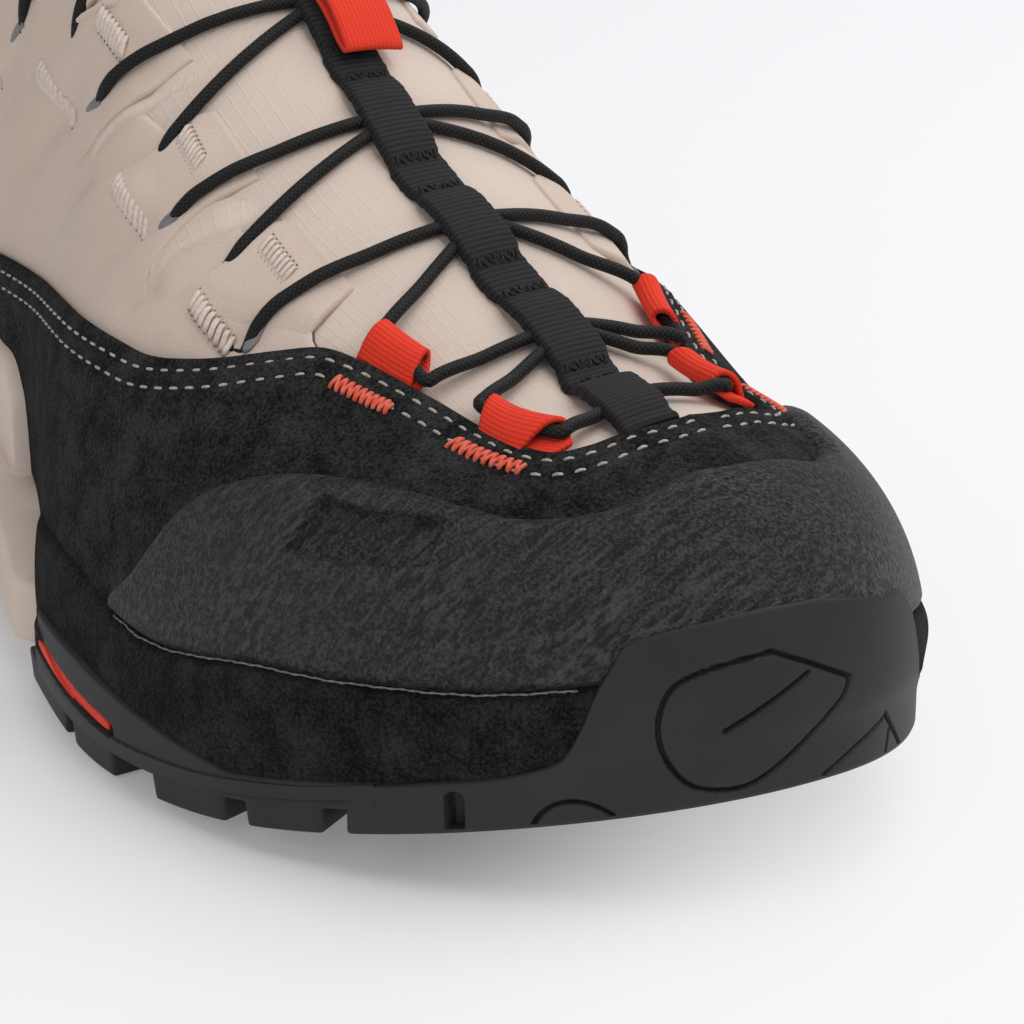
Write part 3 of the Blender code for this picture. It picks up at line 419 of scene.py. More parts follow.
lateral_half = table_curve(SOLE_EDGE, "lateral")
medial_half = table_curve(SOLE_EDGE, "medial")
feather_base = table_curve(FEATHER, "height")
spine_height = table_curve(SPINE, "height")
lateral_fullness = table_curve(FULLNESS, "lateral")
medial_fullness = table_curve(FULLNESS, "medial")
bed_base = table_curve(BED, "height")
top_edge = table_curve(TOP_EDGE, "climb")
suede_edge = table_curve(SUEDE_EDGE, "climb")
cap_top_lateral = table_curve(CAP_TOP_LATERAL, "climb")
cap_top_medial = table_curve(CAP_TOP_MEDIAL, "climb")
rand_top = table_curve(RAND_TOP, "climb")
bumper_top_lateral = table_curve(BUMPER_TOP_LATERAL, "climb")
bumper_top_medial = table_curve(BUMPER_TOP_MEDIAL, "climb")
band_top = table_curve(BAND_TOP, "climb")
cup_top = table_curve(CUP_TOP, "climb")
sidewall_top = table_curve(SIDEWALL_TOP, "height")
rim_lateral = table_curve(BUMPER_RIM_LATERAL, "height")
rim_medial = table_curve(BUMPER_RIM_MEDIAL, "height")
strap_middle = table_curve(STRAP_MIDDLE, "x")
tongue_lateral = table_curve(TONGUE, "lateral")
tongue_medial = table_curve(TONGUE, "medial")


def station_of(turn):
    return LENGTH * (1 - np.cos(np.pi * np.abs(turn))) / 2


def turn_of(station):
    return np.arccos(1 - 2 * np.clip(station, 0, LENGTH) / LENGTH) / np.pi


def toe_spring(station):
    return SPRING_RISE * np.clip((station - SPRING_START) / (LENGTH - SPRING_START), 0, 1.2) ** SPRING_POWER


def axis_shift(station):
    return TOE_SHIFT * smooth_step(TOE_SHIFT_START, LENGTH, station)


def sole_edge(turn, inset=0.0):
    """Plan point (x, station) of the sole's edge, moved inward by inset."""
    turn = np.asarray(turn, float)
    station = station_of(turn)
    heel = np.clip(1 - station / HEEL_ROUND, 0, 1)
    toe = np.clip((station - (LENGTH - TOE_ROUND)) / TOE_ROUND, 0, 1)
    rounding = np.sqrt(1 - heel ** 2) * (1 - toe ** TOE_POWER) ** (1 / TOE_POWER)
    half = np.where(turn < 0, lateral_half(station), medial_half(station))
    x = axis_shift(station) + np.sign(turn) * half * rounding
    if not np.any(inset):
        return x, station
    x0, station0 = sole_edge(np.clip(turn - TINY_TURN, -1, 1))
    x1, station1 = sole_edge(np.clip(turn + TINY_TURN, -1, 1))
    along_x = x1 - x0
    along_station = station1 - station0
    span = np.hypot(along_x, along_station)
    return x - inset * along_station / span, station + inset * along_x / span


def form_inset(turn):
    """How far inside the sole's edge the upper stands."""
    rear = 1 - smooth_step(*REAR_INSET_STATIONS, station_of(turn))
    return FRONT_INSET - SIDE_INSET * np.sin(np.pi * turn) + REAR_INSET * rear


def feather(station):
    """Height of the line where the upper meets the sole."""
    return feather_base(station) + toe_spring(station)


def centre_station(station):
    """Station of the spine point: it stops short of the heel and of the toe, where sections fan out."""
    past_toe = np.clip((station - TOE_CENTRE) / CENTRE_SOFTNESS, -40, 40)
    past_heel = np.clip((HEEL_CENTRE - station) / CENTRE_SOFTNESS, -40, 40)
    return station + CENTRE_SOFTNESS * (np.log1p(np.exp(past_heel)) - np.log1p(np.exp(past_toe)))


def ridge(station):
    return RIDGE_SHIFT * smooth_step(*RIDGE_STATIONS, station)


def section_ends(turn):
    """Foot (x, station, z), spine (x, station, z) and fullness of the section at a turn."""
    station = station_of(turn)
    foot_x, foot_station = sole_edge(turn, form_inset(turn))
    spine_station = centre_station(station)
    fullness = np.where(turn < 0, lateral_fullness(station), medial_fullness(station))
    foot = np.stack([foot_x, foot_station, feather(station)], -1)
    spine = np.stack([ridge(spine_station), spine_station, spine_height(spine_station)], -1)
    return foot, spine, fullness


def form(turn, climb, offset=0.0):
    """Points of the upper's outer face, moved outward by offset."""
    turn, climb, offset = np.broadcast_arrays(np.asarray(turn, float), climb, offset)
    foot, spine, fullness = section_ends(turn)
    angle = climb * np.pi / 2
    inward = 1 - np.clip(np.cos(angle), 0, 1) ** (2 / fullness)
    upward = np.clip(np.sin(angle), 0, 1) ** (2 / fullness)
    x = foot[..., 0] + (spine[..., 0] - foot[..., 0]) * inward
    station = foot[..., 1] + (spine[..., 1] - foot[..., 1]) * inward
    z = foot[..., 2] + (spine[..., 2] - foot[..., 2]) * upward
    points = np.stack([x, LENGTH / 2 - station, z], -1)
    if not np.any(offset):
        return points
    round_step = (form(np.clip(turn + TINY_TURN, -1, 1), climb)
                  - form(np.clip(turn - TINY_TURN, -1, 1), climb))
    climb_step = (form(turn, np.clip(climb + TINY_TURN, 0, 1))
                  - form(turn, np.clip(climb - TINY_TURN, 0, 1)))
    return points + unit(np.cross(climb_step, round_step)) * offset[..., None]


def outward(turn, climb):
    return (form(turn, climb, 0.001) - form(turn, climb)) * 1000


def form_steps(turn, climb):
    """How far the form goes for one unit of turn and of climb, as vectors."""
    turn = np.asarray(turn, float)
    climb = np.asarray(climb, float)
    round_step = form(turn + TINY_TURN, climb) - form(turn - TINY_TURN, climb)
    climb_step = form(turn, climb + TINY_TURN) - form(turn, climb - TINY_TURN)
    return round_step / (2 * TINY_TURN), climb_step / (2 * TINY_TURN)


def tangent_step(turn, climb, move):
    """Steps of turn and climb that follow a move in space as closely as the form allows."""
    round_step, climb_step = form_steps(turn, climb)
    a = (round_step * round_step).sum(-1)
    b = (round_step * climb_step).sum(-1)
    c = (climb_step * climb_step).sum(-1)
    p = (move * round_step).sum(-1)
    q = (move * climb_step).sum(-1)
    spread = a * c - b * b
    return (c * p - b * q) / spread, (a * q - b * p) / spread


def unit_lengths(turn, climb):
    """Metres on the form for one unit of turn and of climb."""
    return np.array([np.linalg.norm(step) for step in form_steps(turn, climb)])


def climb_at_height(turn, height):
    foot, spine, fullness = section_ends(np.asarray(turn, float))
    share = np.clip((height - foot[..., 2]) / (spine[..., 2] - foot[..., 2]), 0, 1)
    return np.arcsin(share ** (fullness / 2)) * 2 / np.pi


SEARCH_TURNS = np.concatenate([np.linspace(-1.0, -0.30, 2800), np.linspace(0.30, 1.0, 2800)])
SEARCH_FOOT, SEARCH_SPINE, SEARCH_FULLNESS = section_ends(SEARCH_TURNS)


def place_on_form(x, station):
    """Turn and climb of the form's point over a plan place. In plan each section is a straight line."""
    along = SEARCH_SPINE[:, :2] - SEARCH_FOOT[:, :2]
    away = np.array([x, station]) - SEARCH_FOOT[:, :2]
    length = np.linalg.norm(along, axis=1)
    share = (along * away).sum(1) / length ** 2
    aside = np.abs(along[:, 0] * away[:, 1] - along[:, 1] * away[:, 0]) / length
    miss = aside + np.maximum(0, share - 1) * length + np.maximum(0, -share) * length
    k = int(np.argmin(miss))
    inward = np.clip(share[k], 0, 1)
    climb = np.arccos((1 - inward) ** (SEARCH_FULLNESS[k] / 2)) * 2 / np.pi
    return SEARCH_TURNS[k], climb


TOE_LINE = form(1.0, np.linspace(0.999, 0.3, 120))
CROWN_STATIONS = np.concatenate([np.linspace(0.10, 0.244, 145), LENGTH / 2 - TOE_LINE[:, 1]])
CROWN_HEIGHTS = np.concatenate([spine_height(CROWN_STATIONS[:145]), TOE_LINE[:, 2]])


def crown_height(station):
    """Height of the form along its ridge, down over the toe too."""
    return np.interp(station, CROWN_STATIONS, CROWN_HEIGHTS)


def crown(x, station, offset):
    """A point near the ridge, offset square to the ridge's slope."""
    slope = (crown_height(station + CROWN_STEP) - crown_height(station - CROWN_STEP)) / (2 * CROWN_STEP)
    turned = np.hypot(1, slope)
    fall = CROWN_FALL * (x - ridge(station)) ** 2
    z = crown_height(station) - fall + offset / turned
    return np.stack(np.broadcast_arrays(x, LENGTH / 2 - (station - offset * slope / turned), z), -1)


def heel_bevel(station):
    return HEEL_BEVEL_RISE * np.clip(1 - station / HEEL_BEVEL_LENGTH, 0, 1) ** 1.5


def arch(station):
    return ARCH_RISE * plateau(*ARCH_STATIONS, station)


def ground(station):
    return toe_spring(station) + heel_bevel(station)


def plate_bottom(station):
    return toe_spring(station) + PLATE_BEVEL * heel_bevel(station) + LUG_DEPTH + arch(station)


def plate_top(station):
    front = smooth_step(*PLATE_RISE_STATIONS, station)
    rear_top = PLATE_BASE + arch(station)
    return rear_top * (1 - front) + (feather(station) - MEET_GAP) * front


def bed(station):
    return bed_base(station) + toe_spring(station)


def bumper_top(turn):
    return by_side(turn, bumper_top_lateral, bumper_top_medial)


def cap_low(turn):
    in_front = np.abs(turn) > np.where(turn < 0, *CAP_OVER_BUMPER)
    over_bumper = np.where(in_front, bumper_top(turn) - CAP_TUCK, 0)
    return np.maximum(rand_top(np.abs(turn)) + CAP_OVER_RAND, over_bumper)


def cap_top(turn):
    return by_side(turn, cap_top_lateral, cap_top_medial)


def cloth_rise(turn, climb):
    """Height of the cloth's troughs and ridges at a place on the form."""
    rise = np.zeros(np.broadcast(turn, climb).shape)
    around = np.abs(turn)
    for start, end, half, height in CLOTH_FOLDS:
        middle = np.add(start, end) / 2
        scale = unit_lengths(-middle[0], middle[1])
        first = np.multiply(start, scale)
        along = np.multiply(end, scale) - first
        away = np.stack(np.broadcast_arrays(around * scale[0], climb * scale[1]), -1) - first
        share, aside = off_line(away, along)
        rise += height * plateau(-0.1, 0.15, 0.55, 1.05, share) * np.exp(-(aside / half) ** 2)
    return rise


# Meshes

def sheet_from(points, cloth=None, out=None):
    """A grid of quads whose point [i, j] stands at points[i, j]. Cloth gives each point's own flat
    millimetres, for weaves, and out is the way its faces look."""
    columns, rows = points.shape[0] - 1, points.shape[1] - 1
    work = bmesh.new()
    bmesh.ops.create_grid(work, x_segments=columns, y_segments=rows, size=0.5)
    layer = work.loops.layers.uv.new("cloth")
    if cloth is None:
        across = np.linalg.norm(np.diff(points, axis=1), axis=2).mean(0)
        along = np.linalg.norm(np.diff(points, axis=0), axis=2).mean(1)
        lengths = [np.concatenate([[0], np.cumsum(steps)]) * 1000 for steps in (along, across)]
        cloth = np.stack(np.meshgrid(*lengths, indexing="ij"), -1)
    places = []
    for vert in work.verts:
        i = round((vert.co.x + 0.5) * columns)
        j = round((vert.co.y + 0.5) * rows)
        vert.co = points[i, j]
        places.append((i, j))
    for face in work.faces:
        for loop in face.loops:
            loop[layer].uv = cloth[places[loop.vert.index]]
    work.normal_update()
    if out is not None:
        facing = sum(face.normal.dot(Vector(out[places[face.verts[0].index]])) for face in work.faces)
        if facing < 0:
            bmesh.ops.reverse_faces(work, faces=work.faces)
    return work


def close_seams(work, distance=2e-6):
    """Merges the rows that meet, so that a tube or ring is closed, and turns its faces outward."""
    bmesh.ops.remove_doubles(work, verts=work.verts, dist=distance)
    bmesh.ops.recalc_face_normals(work, faces=work.faces)
    return work


def close_ends(work):
    """Fills the open ends of a tube."""
    edges = [edge for edge in work.edges if edge.is_boundary]
    bmesh.ops.holes_fill(work, edges=edges, sides=0)
    bmesh.ops.recalc_face_normals(work, faces=work.faces)
    return work


def join_into(work, other):
    mesh = bpy.data.meshes.new("joining")
    other.to_mesh(mesh)
    other.free()
    work.from_mesh(mesh)
    bpy.data.meshes.remove(mesh)


def add_piece(work, name, surface, replaced=(), thickness=0.0, sharp=None):
    """Makes the finished object, with its wall, finish, body and the solids it stands for."""
    mesh = bpy.data.meshes.new(name)
    work.to_mesh(mesh)
    work.free()
    mesh.materials.append(finish(surface))
    mesh.shade_smooth()
    if sharp:
        mesh.set_sharp_from_angle(angle=math.radians(sharp))
    piece = bpy.data.objects.new(name, mesh)
    bpy.context.scene.collection.objects.link(piece)
    if thickness:
        wall = piece.modifiers.new("wall", "SOLIDIFY")
        wall.thickness = thickness
        wall.offset = -1.0
    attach(piece, "root")
    if replaced:
        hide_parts(*replaced)
    return piece


def cloth_mesh():
    """An empty mesh that keeps the cloth coordinates of what is joined into it."""
    work = bmesh.new()
    work.loops.layers.uv.new("cloth")
    return work


def net_over(turns, low, high, share):
    """Turns and climbs of a net whose rows divide the way from one edge to another."""
    climbs = np.broadcast_to(low, turns.shape)[:, None] + (high - low)[:, None] * share
    return np.repeat(turns[:, None], len(share), 1), climbs


def skin(turn, climb, offset):
    """A sheet over the form."""
    return sheet_from(form(turn, climb, offset), out=outward(turn, climb))


def skirted(turns, below, around, climbs, offset):
    """A sheet over the form that goes on down the sole's wall, in rows of points."""
    points = np.concatenate([np.stack(below, 1), form(around, climbs, offset)], 1)
    out = [np.repeat(outward(turns, 0.01)[:, None], len(below), 1), outward(around, climbs)]
    return sheet_from(points, out=np.concatenate(out, 1))


def clustered(count, share=0.012):
    """Shares from 0 to 1 with extra rows close to both ends, for rolled edges."""
    near = np.array([0.0, 0.08, 0.2, 0.4, 0.68, 1.0]) * share
    return np.concatenate([near, np.linspace(near[-1], 1 - near[-1], count)[1:-1], 1 - near[::-1]])


def edge_distance(base):
    """Distance of each net point from the net's bottom and top edges, and from its nearer end."""
    down = np.linalg.norm(np.diff(base, axis=1), axis=2)
    low = np.concatenate([np.zeros((len(base), 1)), np.cumsum(down, 1)], 1)
    along = np.linalg.norm(np.diff(base, axis=0), axis=2)
    start = np.concatenate([np.zeros((1, base.shape[1])), np.cumsum(along, 0)], 0)
    return low, low[:, -1:] - low, np.minimum(start, start[-1:] - start)


def rolled(distance, radius):
    """Share of a sheet's thickness at a distance from its edge: a quarter round."""
    return np.sqrt(1 - (1 - np.clip(distance / radius, 0, 1)) ** 2)


def smooth_path(points, count):
    """An even path through points, with averaged slopes at equal spans."""
    points = np.asarray(points, float)
    spans = np.linalg.norm(np.diff(points, axis=0), axis=1)
    places = np.concatenate([[0], np.cumsum(np.sqrt(spans))])
    fine = np.linspace(0, places[-1], count * 6)
    path = np.stack([curve_through(places, points[:, k])(fine) for k in range(points.shape[1])], -1)
    length = run_length(path)
    even = np.linspace(0, length[-1], count)
    return np.stack([np.interp(even, length, path[:, k]) for k in range(points.shape[1])], -1)


def tube_from(path, radius, sides, flat=1.0, up=(0.0, 0.0, 1.0)):
    """A round cord along a path. Its cloth coordinates run along the cord and round it, in millimetres."""
    path = np.asarray(path, float)
    ways = unit(np.gradient(path, axis=0))
    up = np.broadcast_to(np.asarray(up, float), path.shape)
    across = unit(np.cross(ways, up))
    over = np.cross(across, ways)
    angles = np.linspace(0, 2 * np.pi, sides + 1)
    circle = across[:, None] * np.cos(angles)[:, None] + flat * over[:, None] * np.sin(angles)[:, None]
    radius = np.broadcast_to(radius, len(path))[:, None, None]
    length = run_length(path) * 1000
    cloth = np.stack(np.meshgrid(length, angles * radius.mean() * 1000, indexing="ij"), -1)
    return close_ends(close_seams(sheet_from(path[:, None] + radius * circle, cloth)))


def slab_from(half_turns, profile, top_rows=10):
    """A closed slab of the sole. Profile(turn) gives (inset, z) rows from its bottom's edge to its top's."""
    rings = []
    for side in (-1, 1):
        turns = side * half_turns
        rings.append(np.stack([sole_points(turns, inset, z) for inset, z in profile(turns)], 1))
    share = np.linspace(0, 1, top_rows + 1)[1:-1, None]
    lateral, medial = rings
    over = lateral[:, -1:] * (1 - share) + medial[:, -1:] * share
    under = medial[:, :1] * (1 - share) + lateral[:, :1] * share
    points = np.concatenate([lateral, over, medial[:, ::-1], under, lateral[:, :1]], 1)
    return close_seams(sheet_from(points), 1e-5)


# Materials

def linear(code):
    """An sRGB hex colour as linear red, green, blue and alpha."""
    parts = [int(code[k:k + 2], 16) / 255 for k in (1, 3, 5)]
    return tuple(c / 12.92 if c <= 0.04045 else ((c + 0.055) / 1.055) ** 2.4 for c in parts) + (1.0,)


def node(tree, kind, settings=(), links=()):
    """Adds a node. A setting goes to a property of that name or else to a socket, a link to a socket."""
    made = tree.nodes.new(kind)
    for key, value in dict(settings).items():
        if isinstance(key, str) and hasattr(made, key):
            setattr(made, key, value)
        else:
            made.inputs[key].default_value = value
    for key, (source, output) in dict(links).items():
        tree.links.new(source.outputs[output], made.inputs[key])
    return made


def start_material(name, **shader_values):
    """A material, its shader, set directly, and the links for patterns on the piece and on its cloth."""
    material = bpy.data.materials.new(name)
    material.use_nodes = True
    tree = material.node_tree
    shader = tree.nodes["Principled BSDF"]
    for key, value in shader_values.items():
        shader.inputs[key.replace("_", " ")].default_value = value
    coords = node(tree, "ShaderNodeTexCoord")
    return material, tree, shader, {"Vector": (coords, "Object")}, {"Vector": (coords, "UV")}


def mottle(tree, shader, source, darker, lighter, low=0.35, high=0.65):
    """Base colour between two tones by a pattern."""
    spread = node(tree, "ShaderNodeMapRange", {"From Min": low, "From Max": high}, {"Value": source})
    tones = node(tree, "ShaderNodeMix", {"data_type": "RGBA", 6: darker, 7: lighter}, {0: (spread, 0)})
    tree.links.new(tones.outputs[2], shader.inputs["Base Color"])


def raise_bump(tree, shader, source, distance, strength):
    """Lets a pattern stand out of the surface by a distance in metres."""
    bump = node(tree, "ShaderNodeBump", {"Distance": distance, "Strength": strength}, {"Height": source})
    tree.links.new(bump.outputs[0], shader.inputs["Normal"])


def suede_material(name, colour, light, warm):
    """Split suede, sanded: a short nap that scatters light, so it looks soft and black with brushed, paler
    patches 3 to 8 mm wide and a grain of tufts. The 0.1 mm fibres are drawn as 0.6 mm tufts to show."""
    material, tree, shader, here, _ = start_material(
        name, Roughness=0.95, Specular_IOR_Level=0.05, Sheen_Weight=0.035, Sheen_Roughness=0.5,
        Sheen_Tint=warm)
    patches = node(tree, "ShaderNodeTexNoise", {"Scale": 160.0, "Detail": 5.0, "Roughness": 0.68}, here)
    fibres = node(tree, "ShaderNodeTexNoise", {"Scale": 1900.0, "Detail": 4.0, "Roughness": 0.8}, here)
    both = node(tree, "ShaderNodeMath", {"operation": "MULTIPLY_ADD", 1: 1.6},
                {0: (fibres, 0), 2: (patches, 0)})
    mottle(tree, shader, (both, 0), colour, light, 1.12, 1.62)
    clumps = node(tree, "ShaderNodeTexNoise", {"Scale": 900.0, "Detail": 4.0, "Roughness": 0.8}, here)
    raise_bump(tree, shader, (clumps, 0), 0.0011, 0.9)
    return material


def coated_material(name, colour, light):
    """Leather with a wiped polyurethane coat: charcoal, half matt, with streaks about 0.9 mm apart where the
    coat was dragged across the toe and fine grain between them, so soft light breaks up into a brushed
    shimmer."""
    material, tree, shader, here, _ = start_material(name, Roughness=0.46, Specular_IOR_Level=0.40)
    turned = node(tree, "ShaderNodeMapping", {"Rotation": (0.0, 0.57, 0.157)}, here)
    drawn = node(tree, "ShaderNodeMapping", {"Scale": (140.0, 1150.0, 1150.0)}, {"Vector": (turned, 0)})
    streaks = node(tree, "ShaderNodeTexNoise",
                   {"Scale": 1.0, "Detail": 3.0, "Roughness": 0.6, "Distortion": 0.4}, {"Vector": (drawn, 0)})
    pebbles = node(tree, "ShaderNodeTexNoise", {"Scale": 1900.0, "Detail": 3.0, "Roughness": 0.65}, here)
    clouds = node(tree, "ShaderNodeTexNoise", {"Scale": 70.0, "Detail": 3.0}, here)
    mixed = node(tree, "ShaderNodeMix", {"data_type": "FLOAT"},
                 {0: (clouds, 0), 2: (streaks, 0), 3: (pebbles, 0)})
    mottle(tree, shader, (mixed, 0), colour, light, 0.44, 0.60)
    raise_bump(tree, shader, (mixed, 0), 0.0052, 0.95)
    return material


def rubber_material(name, colour, light):
    """Moulded carbon rubber: matt, near black with a grey bloom, and the faint grain of a blasted mould."""
    material, tree, shader, here, _ = start_material(name, Roughness=0.56, Specular_IOR_Level=0.26)
    bloom = node(tree, "ShaderNodeTexNoise", {"Scale": 55.0, "Detail": 6.0, "Roughness": 0.62}, here)
    mottle(tree, shader, (bloom, 0), colour, light, 0.3, 0.72)
    grain = node(tree, "ShaderNodeTexNoise", {"Scale": 2200.0, "Detail": 2.0}, here)
    raise_bump(tree, shader, (grain, 0), 0.00012, 0.5)
    return material


def foam_material(name, colour, light):
    """Moulded EVA foam: matt and chalky, with the fine pimples of its skin."""
    material, tree, shader, here, _ = start_material(name, Roughness=0.78, Specular_IOR_Level=0.25)
    clouds = node(tree, "ShaderNodeTexNoise", {"Scale": 90.0, "Detail": 5.0}, here)
    mottle(tree, shader, (clouds, 0), colour, light)
    skin = node(tree, "ShaderNodeTexNoise", {"Scale": 1500.0, "Detail": 3.0}, here)
    raise_bump(tree, shader, (skin, 0), 0.00025, 0.5)
    return material


def microfibre_material(name, colour, light):
    """Polyester microfibre with a soft film over it: matt sand, smooth, with a faint close weave. The 0.15 mm
    threads are drawn at 0.45 mm to show."""
    material, tree, shader, here, _ = start_material(
        name, Roughness=0.72, Specular_IOR_Level=0.28, Sheen_Weight=0.12)
    clouds = node(tree, "ShaderNodeTexNoise", {"Scale": 60.0, "Detail": 6.0, "Roughness": 0.6}, here)
    mottle(tree, shader, (clouds, 0), colour, light, 0.3, 0.7)
    threads = node(tree, "ShaderNodeTexNoise", {"Scale": 2300.0, "Detail": 2.0}, here)
    raise_bump(tree, shader, (threads, 0), 0.00022, 0.55)
    return material


def woven_lines(tree, cloth, axis, pitch, width):
    """Lines across one of the cloth's own directions: 1 on a line, 0 between."""
    parts = node(tree, "ShaderNodeSeparateXYZ", {}, cloth)
    wave = node(tree, "ShaderNodeMath", {"operation": "PINGPONG", 1: pitch / 2}, {0: (parts, axis)})
    falling = {"From Min": 0.0, "From Max": width, "To Min": 1.0, "To Max": 0.0}
    return node(tree, "ShaderNodeMapRange", falling, {"Value": (wave, 0)})


def ripstop_material(name, colour, light):
    """Nylon ripstop: a thin matt weave with thicker threads in squares about 2 mm apart, which stand a little
    proud, with a painted highlight: they take a paler tone where they would catch the light."""
    material, tree, shader, here, cloth = start_material(
        name, Roughness=0.74, Specular_IOR_Level=0.25, Sheen_Weight=0.15)
    square = bpy.context.scene.hiking_shoe_sizes.ripstop_square * 1000
    one = woven_lines(tree, cloth, 0, square, 0.20)
    two = woven_lines(tree, cloth, 1, square, 0.20)
    lines = node(tree, "ShaderNodeMath", {"operation": "MAXIMUM"}, {0: (one, 0), 1: (two, 0)})
    uneven = node(tree, "ShaderNodeTexNoise", {"Scale": 420.0, "Detail": 4.0, "Roughness": 0.7}, here)
    faded = node(tree, "ShaderNodeMath", {"operation": "MULTIPLY"}, {0: (lines, 0), 1: (uneven, 0)})
    # painted highlight: the thick threads take the paler tone, unevenly
    mottle(tree, shader, (faded, 0), colour, light, 0.0, 0.8)
    fine = node(tree, "ShaderNodeTexNoise", {"Scale": 1900.0, "Detail": 3.0}, here)
    high = node(tree, "ShaderNodeMath", {"operation": "MULTIPLY_ADD", 1: 0.45}, {0: (fine, 0), 2: (faded, 0)})
    raise_bump(tree, shader, (high, 0), 0.00018, 0.7)
    return material


def webbing_material(name, colour, light, rib_share, axis):
    """Woven polyester webbing: close ribs across the band, matt with a dull thread sheen, and a painted
    sheen: each rib takes a paler tone.
    """
    material, tree, shader, here, cloth = start_material(
        name, Roughness=0.70, Specular_IOR_Level=0.14, Sheen_Weight=0.03)
    rib = bpy.context.scene.hiking_shoe_sizes.webbing_rib * 1000 * rib_share
    ribs = woven_lines(tree, cloth, axis, rib, rib * 0.5)
    threads = woven_lines(tree, cloth, 1 - axis, rib * 0.62, rib * 0.3)
    weave = node(tree, "ShaderNodeMath", {"operation": "MULTIPLY_ADD", 1: 0.35},
                 {0: (threads, 0), 2: (ribs, 0)})
    uneven = node(tree, "ShaderNodeTexNoise", {"Scale": 1300.0, "Detail": 3.0}, here)
    total = node(tree, "ShaderNodeMath", {"operation": "MULTIPLY_ADD", 1: 0.5},
                 {0: (uneven, 0), 2: (weave, 0)})
    # painted sheen: the ribs take the paler tone, the hollows between them the darker one
    mottle(tree, shader, (total, 0), colour, light, 0.1, 1.5)
    raise_bump(tree, shader, (total, 0), 0.00013, 0.8)
    return material


def braid_material(name, colour, light):
    """Braided polyester cord: strands cross in small diamonds about 0.8 mm long, each with a dull sheen,
    partly painted: the strands take a paler tone and the lines between them a darker one as painted shade.
    """
    material, tree, shader, _, cloth = start_material(
        name, Roughness=0.62, Specular_IOR_Level=0.2, Sheen_Weight=0.03)
    parts = node(tree, "ShaderNodeSeparateXYZ", {}, cloth)
    left = node(tree, "ShaderNodeMath", {"operation": "ADD"}, {0: (parts, 0), 1: (parts, 1)})
    right = node(tree, "ShaderNodeMath", {"operation": "SUBTRACT"}, {0: (parts, 0), 1: (parts, 1)})
    one = node(tree, "ShaderNodeMath", {"operation": "PINGPONG", 1: 0.42}, {0: (left, 0)})
    two = node(tree, "ShaderNodeMath", {"operation": "PINGPONG", 1: 0.42}, {0: (right, 0)})
    strands = node(tree, "ShaderNodeMath", {"operation": "MULTIPLY"}, {0: (one, 0), 1: (two, 0)})
    # painted sheen and shade: paler on each strand, darker in the lines between strands
    mottle(tree, shader, (strands, 0), colour, light, 0.0, 0.16)
    raise_bump(tree, shader, (strands, 0), 0.0007, 0.7)
    return material


def thread_material(name, colour, light):
    """Twisted polyester thread: a smooth dull shine with the twist showing as fine changes of tone."""
    material, tree, shader, here, _ = start_material(
        name, Roughness=0.5, Specular_IOR_Level=0.35, Sheen_Weight=0.1)
    twist = node(tree, "ShaderNodeTexNoise", {"Scale": 1500.0, "Detail": 2.0}, here)
    mottle(tree, shader, (twist, 0), colour, light)
    raise_bump(tree, shader, (twist, 0), 0.0002, 0.6)
    return material


def mesh_lining_material(name, colour, light):
    """Knitted polyester lining: soft, matt, with small open cells drawn 1.4 mm wide."""
    material, tree, shader, here, _ = start_material(
        name, Roughness=0.9, Specular_IOR_Level=0.15, Sheen_Weight=0.2)
    cells = node(tree, "ShaderNodeTexVoronoi", {"Scale": 720.0}, here)
    mottle(tree, shader, (cells, 0), light, colour, 0.1, 0.7)
    raise_bump(tree, shader, (cells, 0), 0.0005, 0.8)
    return material


def glowing_floor_material(name, colour, glow, front_glow):
    """Studio table with painted light: a pale matt sheet that glows of itself, more under the toe, so that
    shadows stay thin there. Where it glows more, the sheet throws less back."""
    material, tree, shader, here, _ = start_material(
        name, Roughness=0.95, Specular_IOR_Level=0.0, Emission_Color=(1.0, 1.0, 1.012, 1.0))
    turned = node(tree, "ShaderNodeMapping", {"Rotation": (0.0, 0.0, math.radians(TABLE_ANGLE))}, here)
    parts = node(tree, "ShaderNodeSeparateXYZ", {}, {"Vector": (turned, 0)})
    ramp = {"interpolation_type": "SMOOTHSTEP", "From Min": TABLE_RAMP[0], "From Max": TABLE_RAMP[1]}
    front = node(tree, "ShaderNodeMapRange", ramp, {"Value": (parts, 0)})
    share = (TABLE_WHITE - front_glow) / (TABLE_WHITE - glow)
    darker = tuple(c * share for c in colour[:3]) + (1.0,)
    mottle(tree, shader, (front, 0), colour, darker, 0.0, 1.0)
    # painted light: the table's own glow is stronger under the toe and thins the shadow there
    strength = node(tree, "ShaderNodeMapRange", {"To Min": glow, "To Max": front_glow}, {"Value": (front, 0)})
    tree.links.new(strength.outputs[0], shader.inputs["Emission Strength"])
    return material


